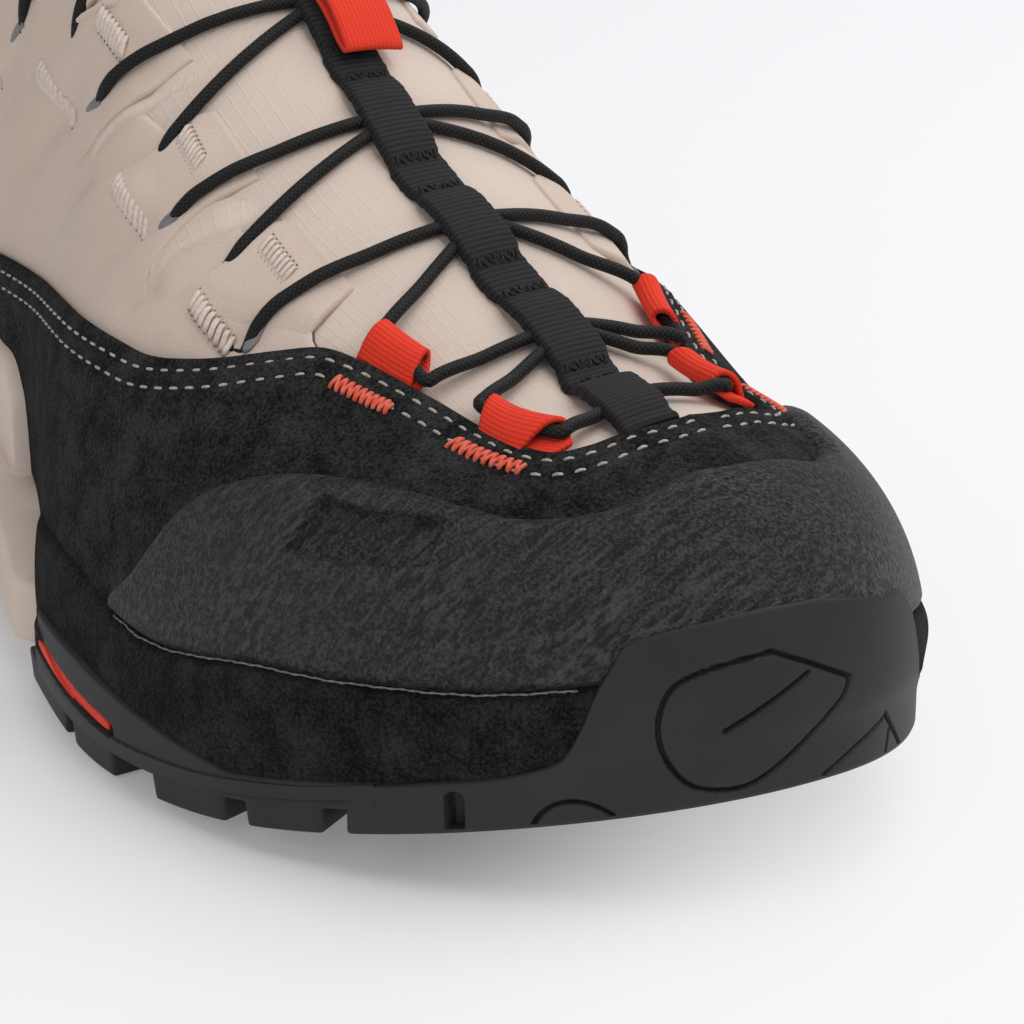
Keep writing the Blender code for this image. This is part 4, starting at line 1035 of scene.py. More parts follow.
# Each finish: its maker, name, colour, how much paler its light tone is, and what else its maker asks for
FINISHES = {
    "rubber": (rubber_material, "carbon_rubber_moulded", "rubber", 0.008),
    "foam": (foam_material, "eva_foam_moulded", "foam", 0.1),
    "suede": (suede_material, "split_suede_black", "suede", 0.050, (1.0, 0.97, 0.94, 1.0)),
    "rand": (suede_material, "split_suede_blue_black", "rand", 0.036, (0.92, 0.95, 1.0, 1.0)),
    "cap": (coated_material, "coated_leather_charcoal", "cap", 0.078),
    "microfibre": (microfibre_material, "polyester_microfibre_sand", "cloth", 0.06),
    "ripstop": (ripstop_material, "nylon_ripstop_sand", "ripstop", 0.14),
    "webbing": (webbing_material, "polyester_webbing_black", "webbing", 0.020, 1.0, 0),
    "red": (webbing_material, "polyester_webbing_red", "red", 0.02, 0.78, 1),
    "braid": (braid_material, "polyester_braid_black", "lace", 0.022),
    "pale_thread": (thread_material, "polyester_thread_grey", "stitch", 0.2),
    "orange_thread": (thread_material, "polyester_thread_orange", "tack", 0.1),
    "sand_thread": (thread_material, "polyester_thread_sand", "cloth", 0.25),
    "lining": (mesh_lining_material, "polyester_knit_lining", "lining", 0.1),
    "lip": (thread_material, "polyester_binding_grey", "lip", 0.06),
    "raw_edge": (thread_material, "leather_cut_edge_tan", "raw_edge", 0.1),
    "needle_hole": (thread_material, "polyester_shadowed_brown", "needle_hole", 0.05),
    "inlay": (rubber_material, "rubber_inlay_red", "red", 0.02),
}
MATERIALS = {}


def finish(name):
    """A finish of the shoe, made when first asked for, between its colour and a paler one."""
    if name not in MATERIALS:
        maker, title, word, share, *rest = FINISHES[name]
        colour = tuple(getattr(bpy.context.scene.hiking_shoe_colours, word))
        paler = tuple(c + (1 - c) * share for c in colour)
        MATERIALS[name] = maker(title, colour + (1.0,), paler + (1.0,), *rest)
    return MATERIALS[name]


def two_finishes(piece, second, chosen):
    """Gives the faces that chosen(centre, normal) picks a second finish."""
    piece.data.materials.append(finish(second))
    for polygon in piece.data.polygons:
        if chosen(polygon.center, polygon.normal):
            polygon.material_index = 1


# Sole

def waist(station):
    """1 along the waist, where the foam wraps down over the plate's edge, 0 elsewhere."""
    return plateau(*WAIST_STATIONS, station)


def plate_profile(turn):
    station = station_of(turn)
    bottom = plate_bottom(station)
    under_band = 0.0014 * smooth_step(0.225, 0.262, station)
    top = plate_top(station) - under_band
    behind = [smooth_step(*ends, np.abs(turn)) for ends in BEHIND_BUMPER]
    drawn_in = WAIST_DRAWN_IN * waist(station) + TOE_DRAWN_IN * np.where(turn < 0, *behind)
    rows = [(0.0040, bottom), (0.0012, bottom), (0.0003, bottom), (0.0001, bottom + 0.0002)]
    for share in (0.3, 0.5, 0.7):
        rows.append((0.0001, bottom + (top - bottom) * share))
    rows += [(0.0, top - 0.0006), (0.0002, top - 0.0002), (0.0006, top), (0.0050, top)]
    return [(inset + drawn_in, height) for inset, height in rows]


def block(points, high):
    """A lug: a flat grid on the ground, drawn up to the plate and eased along its edges."""
    work = sheet_from(points)
    low = points[..., 2].min()
    middle = Vector((*points[..., :2].reshape(-1, 2).mean(0), 0))
    drawn = bmesh.ops.extrude_face_region(work, geom=list(work.faces))
    tops = [item for item in drawn["geom"] if isinstance(item, bmesh.types.BMVert)]
    for vert in tops:
        away = Vector((vert.co.x, vert.co.y, 0)) - middle
        vert.co.z += high - low
        vert.co += away.normalized() * LUG_FLARE
    bmesh.ops.recalc_face_normals(work, faces=work.faces)
    sharp = [edge for edge in work.edges if len(edge.link_faces) == 2 and edge.calc_face_angle() > 0.9]
    bmesh.ops.bevel(work, geom=sharp, offset=LUG_BEVEL, offset_type="OFFSET", segments=2, profile=0.5,
                    affect="EDGES", material=-1)
    return work


def edge_lug(start, end, setback, side):
    """A lug at the sole's edge, set back where the bumper or the foam stands in front of it."""
    turns = side * np.linspace(start, end, 9)
    low = ground(station_of(turns))
    points = np.stack([sole_points(turns, inset, low) for inset in np.linspace(setback, LUG_REACH, 4)], 1)
    return block(points, plate_bottom(station_of(turns)).max() + LUG_SINK - np.ptp(low))


def centre_lug(row, side):
    station = CENTRE_LUGS["station"][row]
    middle = axis_shift(station) + (medial_half(station) - lateral_half(station)) / 2
    middle += side * CENTRE_LUGS["spread"][row]
    along = CENTRE_LUGS["length"][row] / 2
    across = CENTRE_LUGS["width"][row] / 2
    turned = side * CENTRE_LUG_ANGLE
    shares = np.linspace(-1, 1, 5)
    a, b = np.meshgrid(shares, shares, indexing="ij")
    b = b + 0.25 * np.abs(a)
    dx = a * across * np.cos(turned) - b * along * np.sin(turned)
    ds = a * across * np.sin(turned) + b * along * np.cos(turned)
    points = np.stack([middle + dx, LENGTH / 2 - station - ds, ground(station + ds)], -1)
    return block(points, plate_bottom(station) + LUG_SINK)


def groove_depth(turn, height, paths, half_width, depth):
    """Depth of moulded grooves near their paths of (turn, height), measured on the wall."""
    around = unrolled(turn)
    cut = np.zeros(np.broadcast(turn, height).shape)
    for path in paths:
        flat = np.array([(unrolled(t), z) for t, z in path])
        if len(flat) > 3:
            flat = smooth_path(flat, 60)
        for (a0, z0), (a1, z1) in zip(flat[:-1], flat[1:]):
            along = np.array([a1 - a0, z1 - z0])
            away = np.stack(np.broadcast_arrays(around - a0, height - z0), -1)
            aside = off_line(away, along)[1]
            cut = np.maximum(cut, 1 - smooth_step(0.35, 1.0, aside / half_width))
    return depth * cut


WALL_TURNS = steps_over((-0.5, -1, 2000), (1, 0.5, 2000))
WALL_LENGTHS = run_length(np.stack(sole_edge(WALL_TURNS), -1))


def unrolled(turn):
    """Length along the sole's edge from the lateral side round the toe to the medial side."""
    order = np.where(np.asarray(turn) < 0, -1 - np.asarray(turn), 1 - np.asarray(turn))
    steps = np.where(WALL_TURNS < 0, -1 - WALL_TURNS, 1 - WALL_TURNS)
    return np.interp(order, steps, WALL_LENGTHS)


def build_bumper(sizes):
    """The toe's rubber wall, one skin from the ground to the bumper's top edge."""
    first, last = BUMPER_ENDS
    turns = steps_over((first, -0.83, 60), (-0.83, -1.0, 230), (1.0, 0.862, 160), (0.862, last, 24))
    low = ground(station_of(turns))
    rim = by_side(turns, rim_lateral, rim_medial)
    end = np.minimum(np.abs(turns - first), np.where(turns > 0, np.abs(turns - last), 1)) * 0.35
    back = 0.0011 * (1 - rolled(end, 0.0009))
    rows = [sole_points(turns, 0.0060 + back, low), sole_points(turns, 0.0022 + back, low)]
    for inset, rise in ((0.0010, 0.0001), (0.0005, 0.0004), (0.0003, 0.0009)):
        rows.append(sole_points(turns, inset + back, low + rise))
    for share in np.linspace(0, 1, 110)[1:]:
        rows.append(toe_wall(turns, low + 0.0009 + (rim - low - 0.0009) * share, back))
    for angle in np.linspace(0, np.pi / 2, 6)[1:]:
        rows.append(toe_wall(turns, rim + 0.0008 * np.sin(angle), back + 0.0021 * (1 - np.cos(angle))))
    points = np.stack(rows, 1)
    along = np.gradient(points, axis=0)
    up = np.gradient(points, axis=1)
    normal = np.cross(up, along)
    normal /= np.linalg.norm(normal, axis=-1, keepdims=True) + 1e-12
    middle = np.array([0.008, -0.10, 0.03])
    normal *= np.sign(((points - middle) * normal).sum(-1, keepdims=True))
    around, height = turns[:, None], points[..., 2]
    cut = groove_depth(around, height, BUMPER_GROOVES, sizes.groove_width / 2, sizes.groove_depth)
    cut = np.maximum(cut, groove_depth(around, height, (TREAD_PIT,), *TREAD_PIT_SIZE))
    cut[:, :5] = 0
    cut[:, -5:] = 0
    return sheet_from(points - normal * cut[..., None], out=normal)


def toe_wall(turns, height, back):
    """Points of the toe's rubber wall: straight up to the feather line, then over the upper."""
    line = feather(station_of(turns))
    reach = smooth_step(0.0, 0.010, height - line + 0.004)
    wall = sole_points(turns, 0.0003 - 0.0005 * reach + back, height)
    above = form(turns, climb_at_height(turns, np.maximum(height, line)), RUBBER_PROUD - back)
    share = smooth_step(-0.0035, 0.0035, height - line)[:, None]
    return wall + (above - wall) * share


def sole_points(turns, inset, height):
    x, station = sole_edge(turns, np.broadcast_to(inset, turns.shape))
    return np.stack([x, LENGTH / 2 - station, np.broadcast_to(height, turns.shape)], -1)


def build_panel():
    """The raised sidewall at the outer ball, with a long recess in it."""
    turns = -turn_of(np.linspace(*PANEL_STATIONS, 260))
    station = station_of(turns)
    low = plate_bottom(station) + 0.0002
    top = np.maximum(sidewall_top(station), low + 0.0032)
    rows = [sole_points(turns, 0.0030, low), sole_points(turns, 0.0004, low)]
    for share in np.linspace(0, 1, 48):
        rows.append(side_wall(turns, low + (top - low) * share, 0.0))
    for angle in np.linspace(0, np.pi / 2, 5)[1:]:
        rows.append(side_wall(turns, top + 0.0005 * np.sin(angle), 0.0016 * (1 - np.cos(angle))))
    points = np.stack(rows, 1)
    out = np.broadcast_to(outward(turns, 0.02)[:, None], points.shape)
    flat = [(unrolled(t), z) for t, z in SLOT_ENDS]
    along = np.subtract(flat[1], flat[0])
    away = np.stack(np.broadcast_arrays(unrolled(turns)[:, None], points[..., 2]), -1) - flat[0]
    aside = off_line(away, along)[1]
    cut = SLOT_DEPTH * (1 - smooth_step(0.00100, 0.00120, aside))
    return sheet_from(points - out * cut[..., None], out=out)


def side_wall(turns, height, back):
    """Points of the sidewall at the outer ball, which swells a little and runs out at its ends."""
    station = station_of(turns)
    line = np.maximum(feather(station), plate_bottom(station) + 0.0030)
    begun = smooth_step(0.185, 0.1895, station)
    ends = begun * (1 - smooth_step(0.232, 0.2600, station))
    rise = smooth_step(-0.0010, 0.0040, height - plate_bottom(station))
    proud = -0.0006 + 0.0004 * begun + 0.0009 * ends * rise - back
    wall = sole_points(turns, -proud, np.minimum(height, line))
    above = form(turns, climb_at_height(turns, np.maximum(height, line)), RUBBER_PROUD + proud)
    return np.where((height > line)[:, None], above, wall)


def build_outsole(sizes):
    half = steps_over((0, 0.55, 90), (0.55, 1, 131))
    outsole = slab_from(half, plate_profile)
    for lug in zip(EDGE_LUGS["start"], EDGE_LUGS["end"], EDGE_LUGS["setback"]):
        for side in (-1, 1):
            join_into(outsole, edge_lug(*lug, side))
    for row in range(len(CENTRE_LUGS["station"])):
        for side in (-1, 1):
            join_into(outsole, centre_lug(row, side))
    join_into(outsole, build_bumper(sizes))
    join_into(outsole, build_panel())
    add_piece(outsole, "outsole_tread", "rubber", ["outsole"], sharp=50)
    build_slot_inlay()


def build_slot_inlay():
    """A plain red strip in the sidewall's recess."""
    along = np.linspace(0.02, 0.98, 60)
    across = np.linspace(-1, 1, 13)
    turns = SLOT_ENDS[0][0] + (SLOT_ENDS[1][0] - SLOT_ENDS[0][0]) * along
    heights = SLOT_ENDS[0][1] + (SLOT_ENDS[1][1] - SLOT_ENDS[0][1]) * along
    taper = np.sqrt(np.clip(1 - (2 * along - 1) ** 10, 0.02, 1))
    points = np.stack([side_wall(turns, heights + 0.00098 * taper * step, 0.0) for step in across], 1)
    out = np.broadcast_to(outward(turns, 0.02)[:, None], points.shape)
    sink = SLOT_DEPTH * (0.25 + 0.6 * across ** 6)
    strip = sheet_from(points - out * sink[None, :, None], out=out)
    add_piece(strip, "sidewall_inlay", "inlay", thickness=FILM_THICK)


def midsole_profile(turn):
    station = station_of(turn)
    core = form_inset(turn) + CORE_INSET
    ended = np.where(turn < 0, smooth_step(*MIDSOLE_END_LATERAL, station),
                     smooth_step(*MIDSOLE_END_MEDIAL, station))
    wall = MIDSOLE_WALL_INSET + (core - MIDSOLE_WALL_INSET) * ended
    wrap = waist(station)
    seat = plate_top(station) + MEET_GAP
    bottom = seat + (plate_bottom(station) + 0.0007 - seat) * wrap
    rim = np.maximum(feather(station) - 1.5 * MEET_GAP, bottom + 0.0015)
    rim_end = np.maximum(core - 0.0004, wall + 0.0004)
    bed_edge = np.maximum(core, wall + 0.0008)
    rows = [(wall + 0.0050, bottom), (wall + 0.0010, bottom), (wall + 0.0003, bottom + 0.0002),
            (wall, bottom + 0.0006)]
    for share in np.linspace(0.08, 0.94, 26):
        full = np.sqrt(min(1.0, share / 0.14, (1 - share) / 0.06))
        bulge = 0.0011 * np.sin(np.pi * share) * (1 - wrap) + 0.0019 * full * wrap
        groove = 0.0011 * np.exp(-((share - 0.56) / 0.040) ** 2) * (1 - smooth_step(0.120, 0.155, station))
        rows.append((wall - (bulge - groove) * (1 - ended), bottom + (rim - bottom) * share))
    ledge = 0.0013 * wrap * (1 - ended)
    return rows + [(wall - ledge, rim - 0.0003), (wall + 0.0003 - ledge, rim), (rim_end, rim),
                   (bed_edge, bed(station))]


def build_heel_cup():
    """The midsole's raised cup round the heel."""
    last = CUP_TOP["turn"][-1]
    turns = steps_over((-last, -0.46, 50), (-0.46, 0.46, 260), (0.46, last, 50))
    share = clustered(22, share=0.03)
    around, climbs = net_over(turns, 0.0, cup_top(np.abs(turns)), share)
    _, high, ends = edge_distance(form(around, climbs))
    offset = 0.0009 + 0.0031 * rolled(np.minimum(high, ends), 0.0016) + 0.0006 * (1 - share)[None]
    line = feather(station_of(turns))
    reach = form_inset(turns) - offset[:, 0]
    rows = ((0.0008, 0.0050), (-0.0003, 0.0032), (0.7 * reach - 0.0001, 0.0016), (reach, 0.0005))
    below = [sole_points(turns, inset, line - drop) for inset, drop in rows]
    return skirted(turns, below, around, climbs, offset)


def build_midsole():
    half = steps_over((0, 0.5, 120), (0.5, 0.66, 60), (0.66, 1, 50))
    midsole = slab_from(half, midsole_profile)
    join_into(midsole, build_heel_cup())
    add_piece(midsole, "midsole_foam", "foam", ["midsole"], sharp=60)


def insole_profile(turn):
    station = station_of(turn)
    edge = form_inset(turn) + INSOLE_INSET
    bottom = bed(station) + MEET_GAP
    top = bottom + INSOLE_THICK
    return [(edge + 0.0008, bottom), (edge, bottom + 0.0008), (edge, top - 0.0012),
            (edge + 0.0003, top - 0.0004), (edge + 0.0012, top), (edge + 0.004, top - 0.0005),
            (edge + 0.010, top - 0.0010)]


def build_insole():
    slab = slab_from(np.linspace(0, 1, 140), insole_profile, 16)
    add_piece(slab, "insole_footbed", "lining", ["insole"], sharp=60)


# Upper and overlays

def throat_edge(turn):
    """The cloth's own edge: the collar and eyestay, and just inside the suede in front."""
    around = np.abs(turn)
    front = smooth_step(0.655, 0.675, around)
    return top_edge(around) * (1 - front) + (suede_edge(around) - 0.012) * front


def build_upper(sizes):
    turns = np.linspace(-1, 1, 641)
    top = throat_edge(turns)
    collar = 1 - smooth_step(*COLLAR_END, np.abs(turns))
    wall = UPPER_WALL + sizes.collar_padding * collar
    scale = np.linalg.norm(form_steps(np.clip(turns, -0.999, 0.999), top)[1], axis=-1)
    rows = []
    for share in np.linspace(0, 1, 50):
        lift = 0.0012 * collar * np.sin(np.pi * np.clip((share - 0.6) / 0.55, 0, 1))
        rows.append(form(turns, top * share, cloth_rise(turns, top * share) + lift + 1e-6))
    for angle in np.linspace(0, np.pi, 9)[1:-1]:
        over = wall / 2 * np.sin(angle) / scale
        rows.append(form(turns, top + over, -wall / 2 * (1 - np.cos(angle))))
    for share in np.linspace(1, 0, 22):
        thick = UPPER_WALL + (wall - UPPER_WALL) * smooth_step(0.35, 0.85, share)
        rows.append(form(turns, top * share, -thick))
    rows.append(rows[0])
    points = np.stack(rows, 1)
    work = close_seams(sheet_from(points), 1e-5)
    piece = add_piece(work, "upper_cloth", "microfibre", ["upper"])
    two_finishes(piece, "lining", inside_collar)


def inside_collar(centre, normal):
    """True for faces that look into the shoe."""
    station = LENGTH / 2 - centre.y
    front, rear = INSIDE_ENDS
    middle = Vector((float(ridge(station)), min(max(centre.y, front), rear), INSIDE_HEIGHT))
    return normal.dot(middle - centre) > 0


def build_suede():
    turns = np.linspace(-1, 1, 681)
    around, climbs = net_over(turns, 0.0, suede_edge(np.abs(turns)), clustered(46))
    high = edge_distance(form(around, climbs))[1]
    offset = 0.0003 + 0.00135 * rolled(high, 0.0009)
    for row in STITCH_ROWS:
        offset -= 0.00030 * np.exp(-((high - row) / 0.0008) ** 2)
    offset += 0.00022 * np.exp(-((high - sum(STITCH_ROWS) / 2) / 0.0011) ** 2)
    work = skin(around, climbs, offset)
    bmesh.ops.remove_doubles(work, verts=work.verts, dist=1e-6)
    add_piece(work, "vamp_suede_panel", "suede", ["vamp_suede"], thickness=SUEDE_THICK)


def build_cap():
    turns = steps_over((CAP_REAR_LATERAL, -0.72, 70), (-0.72, -0.81, 90), (-0.81, -1, 120),
                       (1, CAP_REAR_MEDIAL, 200))
    around, climbs = net_over(turns, cap_low(turns), cap_top(turns), clustered(64))
    from_low, from_high, from_end = edge_distance(form(around, climbs))
    height = rolled(from_high, 0.0035) * rolled(from_low, 0.0016) * rolled(from_end, 0.0014)
    offset = 0.0013 + 0.0022 * height - 0.0010 * recess_share(around, climbs)
    work = skin(around, climbs, offset)
    add_piece(work, "toe_cap_leather", "cap", ["toe_cap"], thickness=LEATHER_THICK)


def recess_share(turn, climb):
    """1 inside a plain recessed plate on the outer side of the cap, 0 outside it."""
    scale = unit_lengths(*RECESS)
    along = (turn - RECESS[0]) * scale[0]
    across = (climb - RECESS[1]) * scale[1]
    past = np.hypot(np.maximum(np.abs(along) - RECESS_HALF[0] + 0.001, 0),
                    np.maximum(np.abs(across) - RECESS_HALF[1] + 0.001, 0))
    return np.where(turn < 0, 1 - smooth_step(0.0008, 0.0011, past), 0.0)


def build_rand():
    band = cloth_mesh()
    for side, front_end in zip((-1, 1), BAND_FRONTS):
        turns = side * steps_over((BAND_REAR, 0.62, 120), (0.62, front_end, 260))
        station = station_of(turns)
        share = clustered(30, share=0.03)[3:]
        around, climbs = net_over(turns, 0.0, band_top(np.abs(turns)), share)
        base = form(around, climbs)
        from_high = edge_distance(base)[1]
        front = plateau(0.60, 0.72, 0.80, 0.864, np.abs(around))
        begun = smooth_step(BAND_REAR, 0.585, np.abs(turns))[:, None]
        rear = smooth_step(0.205, 0.180, station)[:, None] * begun
        rim = by_side(turns, rim_lateral, rim_medial) - 0.05 * (np.abs(turns) < 0.80)
        covered = smooth_step(0.0, 0.0016, rim[:, None] - base[..., 2])
        bulge = np.sin(np.pi * np.clip(share, 0.0, 1.0))[None]
        swell = (0.0002 + 0.0011 * front) * bulge + 0.0010 * rear * np.clip(1 - share, 0, 1)[None] ** 0.7
        proud = (0.0021 * rolled(from_high, 0.0016) + swell) * begun
        offset = 0.0010 + proud * (1 - covered) - 0.0006 * covered
        hidden = smooth_step(0.0, 0.0012, rim - feather(station) + 0.0017)
        rows = []
        for drop, tuck in ((0.0017, 0.0020), (0.0016, 0.0009), (0.0012, 0.0003), (0.0006, 0.0)):
            reach = 0.0010 + (0.0021 + 0.0010 * rear[:, 0]) * begun[:, 0] - tuck - 0.0016 * hidden
            rows.append(sole_points(turns, form_inset(turns) - reach, feather(station) - drop))
        join_into(band, skirted(turns, rows, around, climbs, offset))
    add_piece(band, "rand_suede_band", "rand", ["rand"], thickness=LEATHER_THICK)


def build_raw_edge():
    """The cut edge of the cap's leather, a pale line along its lower seam."""
    turns = np.linspace(*RAW_EDGE_ENDS, 160)
    climbs = band_top(np.abs(turns)) + 0.0012 + 0.0006 * np.sin(turns * 900)
    path = form(turns, climbs, 0.0032 + 0.00022 * np.sin(turns * 310) + 0.00008 * np.sin(turns * 2300))
    thick = 0.00014 + 0.00005 * np.sin(turns * 1500)
    add_piece(tube_from(path, thick, 6), "toe_cap_raw_edge", "raw_edge")


# Eyestay

def between_edges(rear, front, across, along):
    """Turn and climb of a net between two edges, each a row of places from its low end up."""
    steps = np.linspace(0, 1, len(rear))
    q = across[:, None]
    net = []
    for k in (0, 1):
        first, last = (curve_through(steps, np.array(edge)[:, k])(along) for edge in (rear, front))
        net.append(first * (1 - q) + last * q)
    return net


def finger_net(number, side, across, along):
    """Turn and climb over a finger: across goes from its rear to its front edge, along from the suede up."""
    turn, climb = between_edges(FINGER_REAR[number], FINGER_FRONT[number], across, along)
    q = across[:, None]
    bow = 0.050 * np.clip(q / 0.16, 0, 1) ** 0.5 * (1 - q) ** 0.8
    return side * turn, climb + bow * smooth_step(0.55, 1.0, along) ** 1.5


def finger_offset(turn, climb, along):
    """Height of a finger's film: flush at its root, a little proud toward its tip, with rounded edges."""
    _, from_high, from_end = edge_distance(form(turn, climb))
    proud = -0.00035 + 0.00110 * smooth_step(0.10, 0.55, along)
    past_edge = smooth_step(0.0, 0.08, climb - top_edge(np.abs(turn)))
    edge = rolled(np.minimum(from_end, from_high), 0.0006)
    return cloth_rise(turn, climb) - 0.0004 + (proud + 0.0004) * edge - 0.0008 * past_edge


def build_fingers():
    across = clustered(30, share=0.05)
    along = np.concatenate([np.linspace(0, 0.985, 84), [0.989, 0.993, 0.997, 1.0]])
    for side, word in ((-1, "lateral"), (1, "medial")):
        for number in range(len(FINGER_REAR)):
            turn, climb = finger_net(number, side, across, along)
            work = skin(turn, climb, finger_offset(turn, climb, along))
            add_piece(work, "eyestay_%s_%d" % (word, number + 1), "microfibre",
                      ["finger_%s_%d" % (word, number + 1)], thickness=FILM_THICK)
    build_gussets()
    build_lips()


def build_gussets():
    """The ripstop that shows in the slits between the fingers."""
    leaves = cloth_mesh()
    along = np.linspace(0, 1, 50)
    across = np.linspace(-0.15, 1.0, 20)
    q = across[:, None]
    for side in (-1, 1):
        for rear, front in zip(SLIT_REAR, SLIT_FRONT):
            around, climb = between_edges(rear, front, across, along)
            turn = side * around
            past_edge = smooth_step(-0.02, 0.06, climb - top_edge(around))
            roll = 0.0006 * np.sin(np.pi * np.clip(q, 0, 1) ** 1.4) * smooth_step(0.0, 0.3, along)
            tuck = 0.0006 * smooth_step(0.70, 1.0, q)
            offset = 0.0001 + roll - tuck + cloth_rise(turn, climb) - 0.0013 * past_edge
            join_into(leaves, skin(turn, climb, offset))
    add_piece(leaves, "gusset_slits", "ripstop", thickness=LEAF_THICK)


def build_lips():
    """Grey bindings at the lower side of the holes where the lace goes under the fingers."""
    lips = cloth_mesh()
    for side in (-1, 1):
        for hole, end in zip(LACE_FRONT[2:], LIP_ENDS):
            share = np.linspace(-0.15, 1.0, 20)
            turns = side * (hole[0] + (end[0] - hole[0]) * share)
            climbs = hole[1] + (end[1] - hole[1]) * share
            path = form(turns, climbs, 0.0004 + cloth_rise(turns, climbs))
            thick = 0.00115 * np.sqrt(np.clip(1 - np.clip(share, 0, 1) ** 2, 0.03, 1))
            join_into(lips, tube_from(path, thick, 14, flat=0.62, up=outward(turns, climbs)))
    add_piece(lips, "lace_hole_lips", "lip")


def tack_line(start, end, side):
    """A tack's start, its way to its end, a metre square to that way on the form, and its length."""
    start, end = (np.array([side * turn, climb]) for turn, climb in (start, end))
    scale = unit_lengths(*((start + end) / 2))
    line = (end - start) * scale
    length = np.linalg.norm(line)
    return start, end - start, np.array([-line[1], line[0]]) / length / scale, length


def zigzag(start, end, side, width, count, lift, radius, base):
    """A bar tack: one thread going to and fro across a line on the form."""
    start, whole, square, _ = tack_line(start, end, side)
    places = []
    offsets = []
    for k in range(2 * count + 1):
        share = k / (2 * count)
        way = 1 if k % 2 else -1
        for reach, height in ((-way, -0.4), (-way * 0.6, 0.8), (0.0, 1.0), (way * 0.6, 0.8)):
            step = share + (reach * way + 1) / (4 * count)
            places.append(start + whole * step + square * reach * width / 2)
            offsets.append(base + lift * height)
    places = np.array(places)
    offsets = np.array(offsets) + cloth_rise(places[:, 0], places[:, 1])
    path = smooth_path(form(places[:, 0], places[:, 1], offsets), count * 28)
    return tube_from(path, radius, 6)


SATIN_RISE = np.array([-1.3, 0.3, 0.55, 0.55, 0.3, -1.3]) * 0.00022
SATIN_TAPER = np.array([0.7, 1.0, 1.0, 1.0, 1.0, 0.7])


def satin(bars, holes, start, end, side, width, count, base):
    """A satin tack on a finger: short threads laid side by side, each between two needle holes."""
    start, whole, square, length = tack_line(start, end, side)
    thick = 0.44 * length / count * SATIN_TAPER
    reach = np.linspace(-0.5, 0.5, len(SATIN_RISE))[:, None]
    lean = whole * 0.30 / count
    for k in range(count):
        middle = start + whole * (k + 0.5) / count
        places = middle + reach * width * square + reach * 2 * lean
        turns, climbs = places.T
        path = form(turns, climbs, base + cloth_rise(turns, climbs) + SATIN_RISE)
        join_into(bars, tube_from(path, thick, 6, flat=0.7, up=outward(turns, climbs)))
        for tip in (places[0], places[-1]):
            away = tip + (tip - middle) * 0.10
            height = base - 0.00008 + cloth_rise(np.array([away[0]]), np.array([away[1]]))[0]
            spot = form(away[0], away[1], height)
            bmesh.ops.create_icosphere(holes, subdivisions=1, radius=0.00019, matrix=Matrix.Translation(spot))


def build_tacks():
    orange = cloth_mesh()
    sand = cloth_mesh()
    holes = bmesh.new()
    for side in (-1, 1):
        for start, end in ORANGE_TACKS:
            join_into(orange, zigzag(start, end, side, width=0.0021, count=9, lift=0.0003,
                                     radius=0.0003, base=0.0017))
        for upper_start, upper_end, lower_start, lower_end in FINGER_TACKS:
            lower = (0.0, MEDIAL_TACK_DROP if side > 0 else 0.0)
            upper_ends = np.subtract((upper_start, upper_end), lower)
            satin(sand, holes, *upper_ends, side, width=0.0031, count=8, base=0.0007)
            satin(sand, holes, lower_start, lower_end, side, width=0.0029, count=9, base=0.0006)
    add_piece(orange, "bar_tacks_orange", "orange_thread")
    add_piece(sand, "bar_tacks_sand", "sand_thread")
    add_piece(holes, "needle_holes", "needle_hole")


def edge_line(distance, count=1600):
    """Places along the suede's top edge, a distance below it."""
    turns = np.linspace(-0.9995, 0.9995, count)
    climbs = suede_edge(np.abs(turns))
    round_step, climb_step = form_steps(turns, climbs)
    slope = np.gradient(climbs, turns)
    along = round_step + climb_step * slope[:, None]
    down = unit(np.cross(outward(turns, climbs), along))
    down *= np.sign(-(down * climb_step).sum(1, keepdims=True))
    turn_move, climb_move = tangent_step(turns, climbs, down * distance)
    turns = turns + turn_move
    climbs = climbs + climb_move
    inside = np.abs(turns) < 0.9996
    return turns[inside], climbs[inside]


STITCH_HEIGHTS = 0.00135 + np.array([-0.0004, 0.00015, 0.00026, 0.00015, -0.0004])
STITCH_RADII = 0.00021 * np.array([0.75, 1.0, 1.05, 1.0, 0.75])


def build_stitches(sizes):
    """Two rows of lockstitch round the suede's top edge, each stitch a short tapered thread."""
    stitches = cloth_mesh()
    for distance in STITCH_ROWS:
        turns, climbs = edge_line(distance)
        base = form(turns, climbs, 0.0017)
        length = run_length(base)
        for start in np.arange(0, length[-1] - sizes.stitch_pitch, sizes.stitch_pitch):
            places = start + sizes.stitch_length * np.linspace(0, 1, len(STITCH_RADII))
            some_turns = np.interp(places, length, turns)
            some_climbs = np.interp(places, length, climbs)
            path = form(some_turns, some_climbs, STITCH_HEIGHTS)
            join_into(stitches, tube_from(path, STITCH_RADII, 6))
    add_piece(stitches, "suede_stitches", "pale_thread")


# Tongue, strap, loops and lace

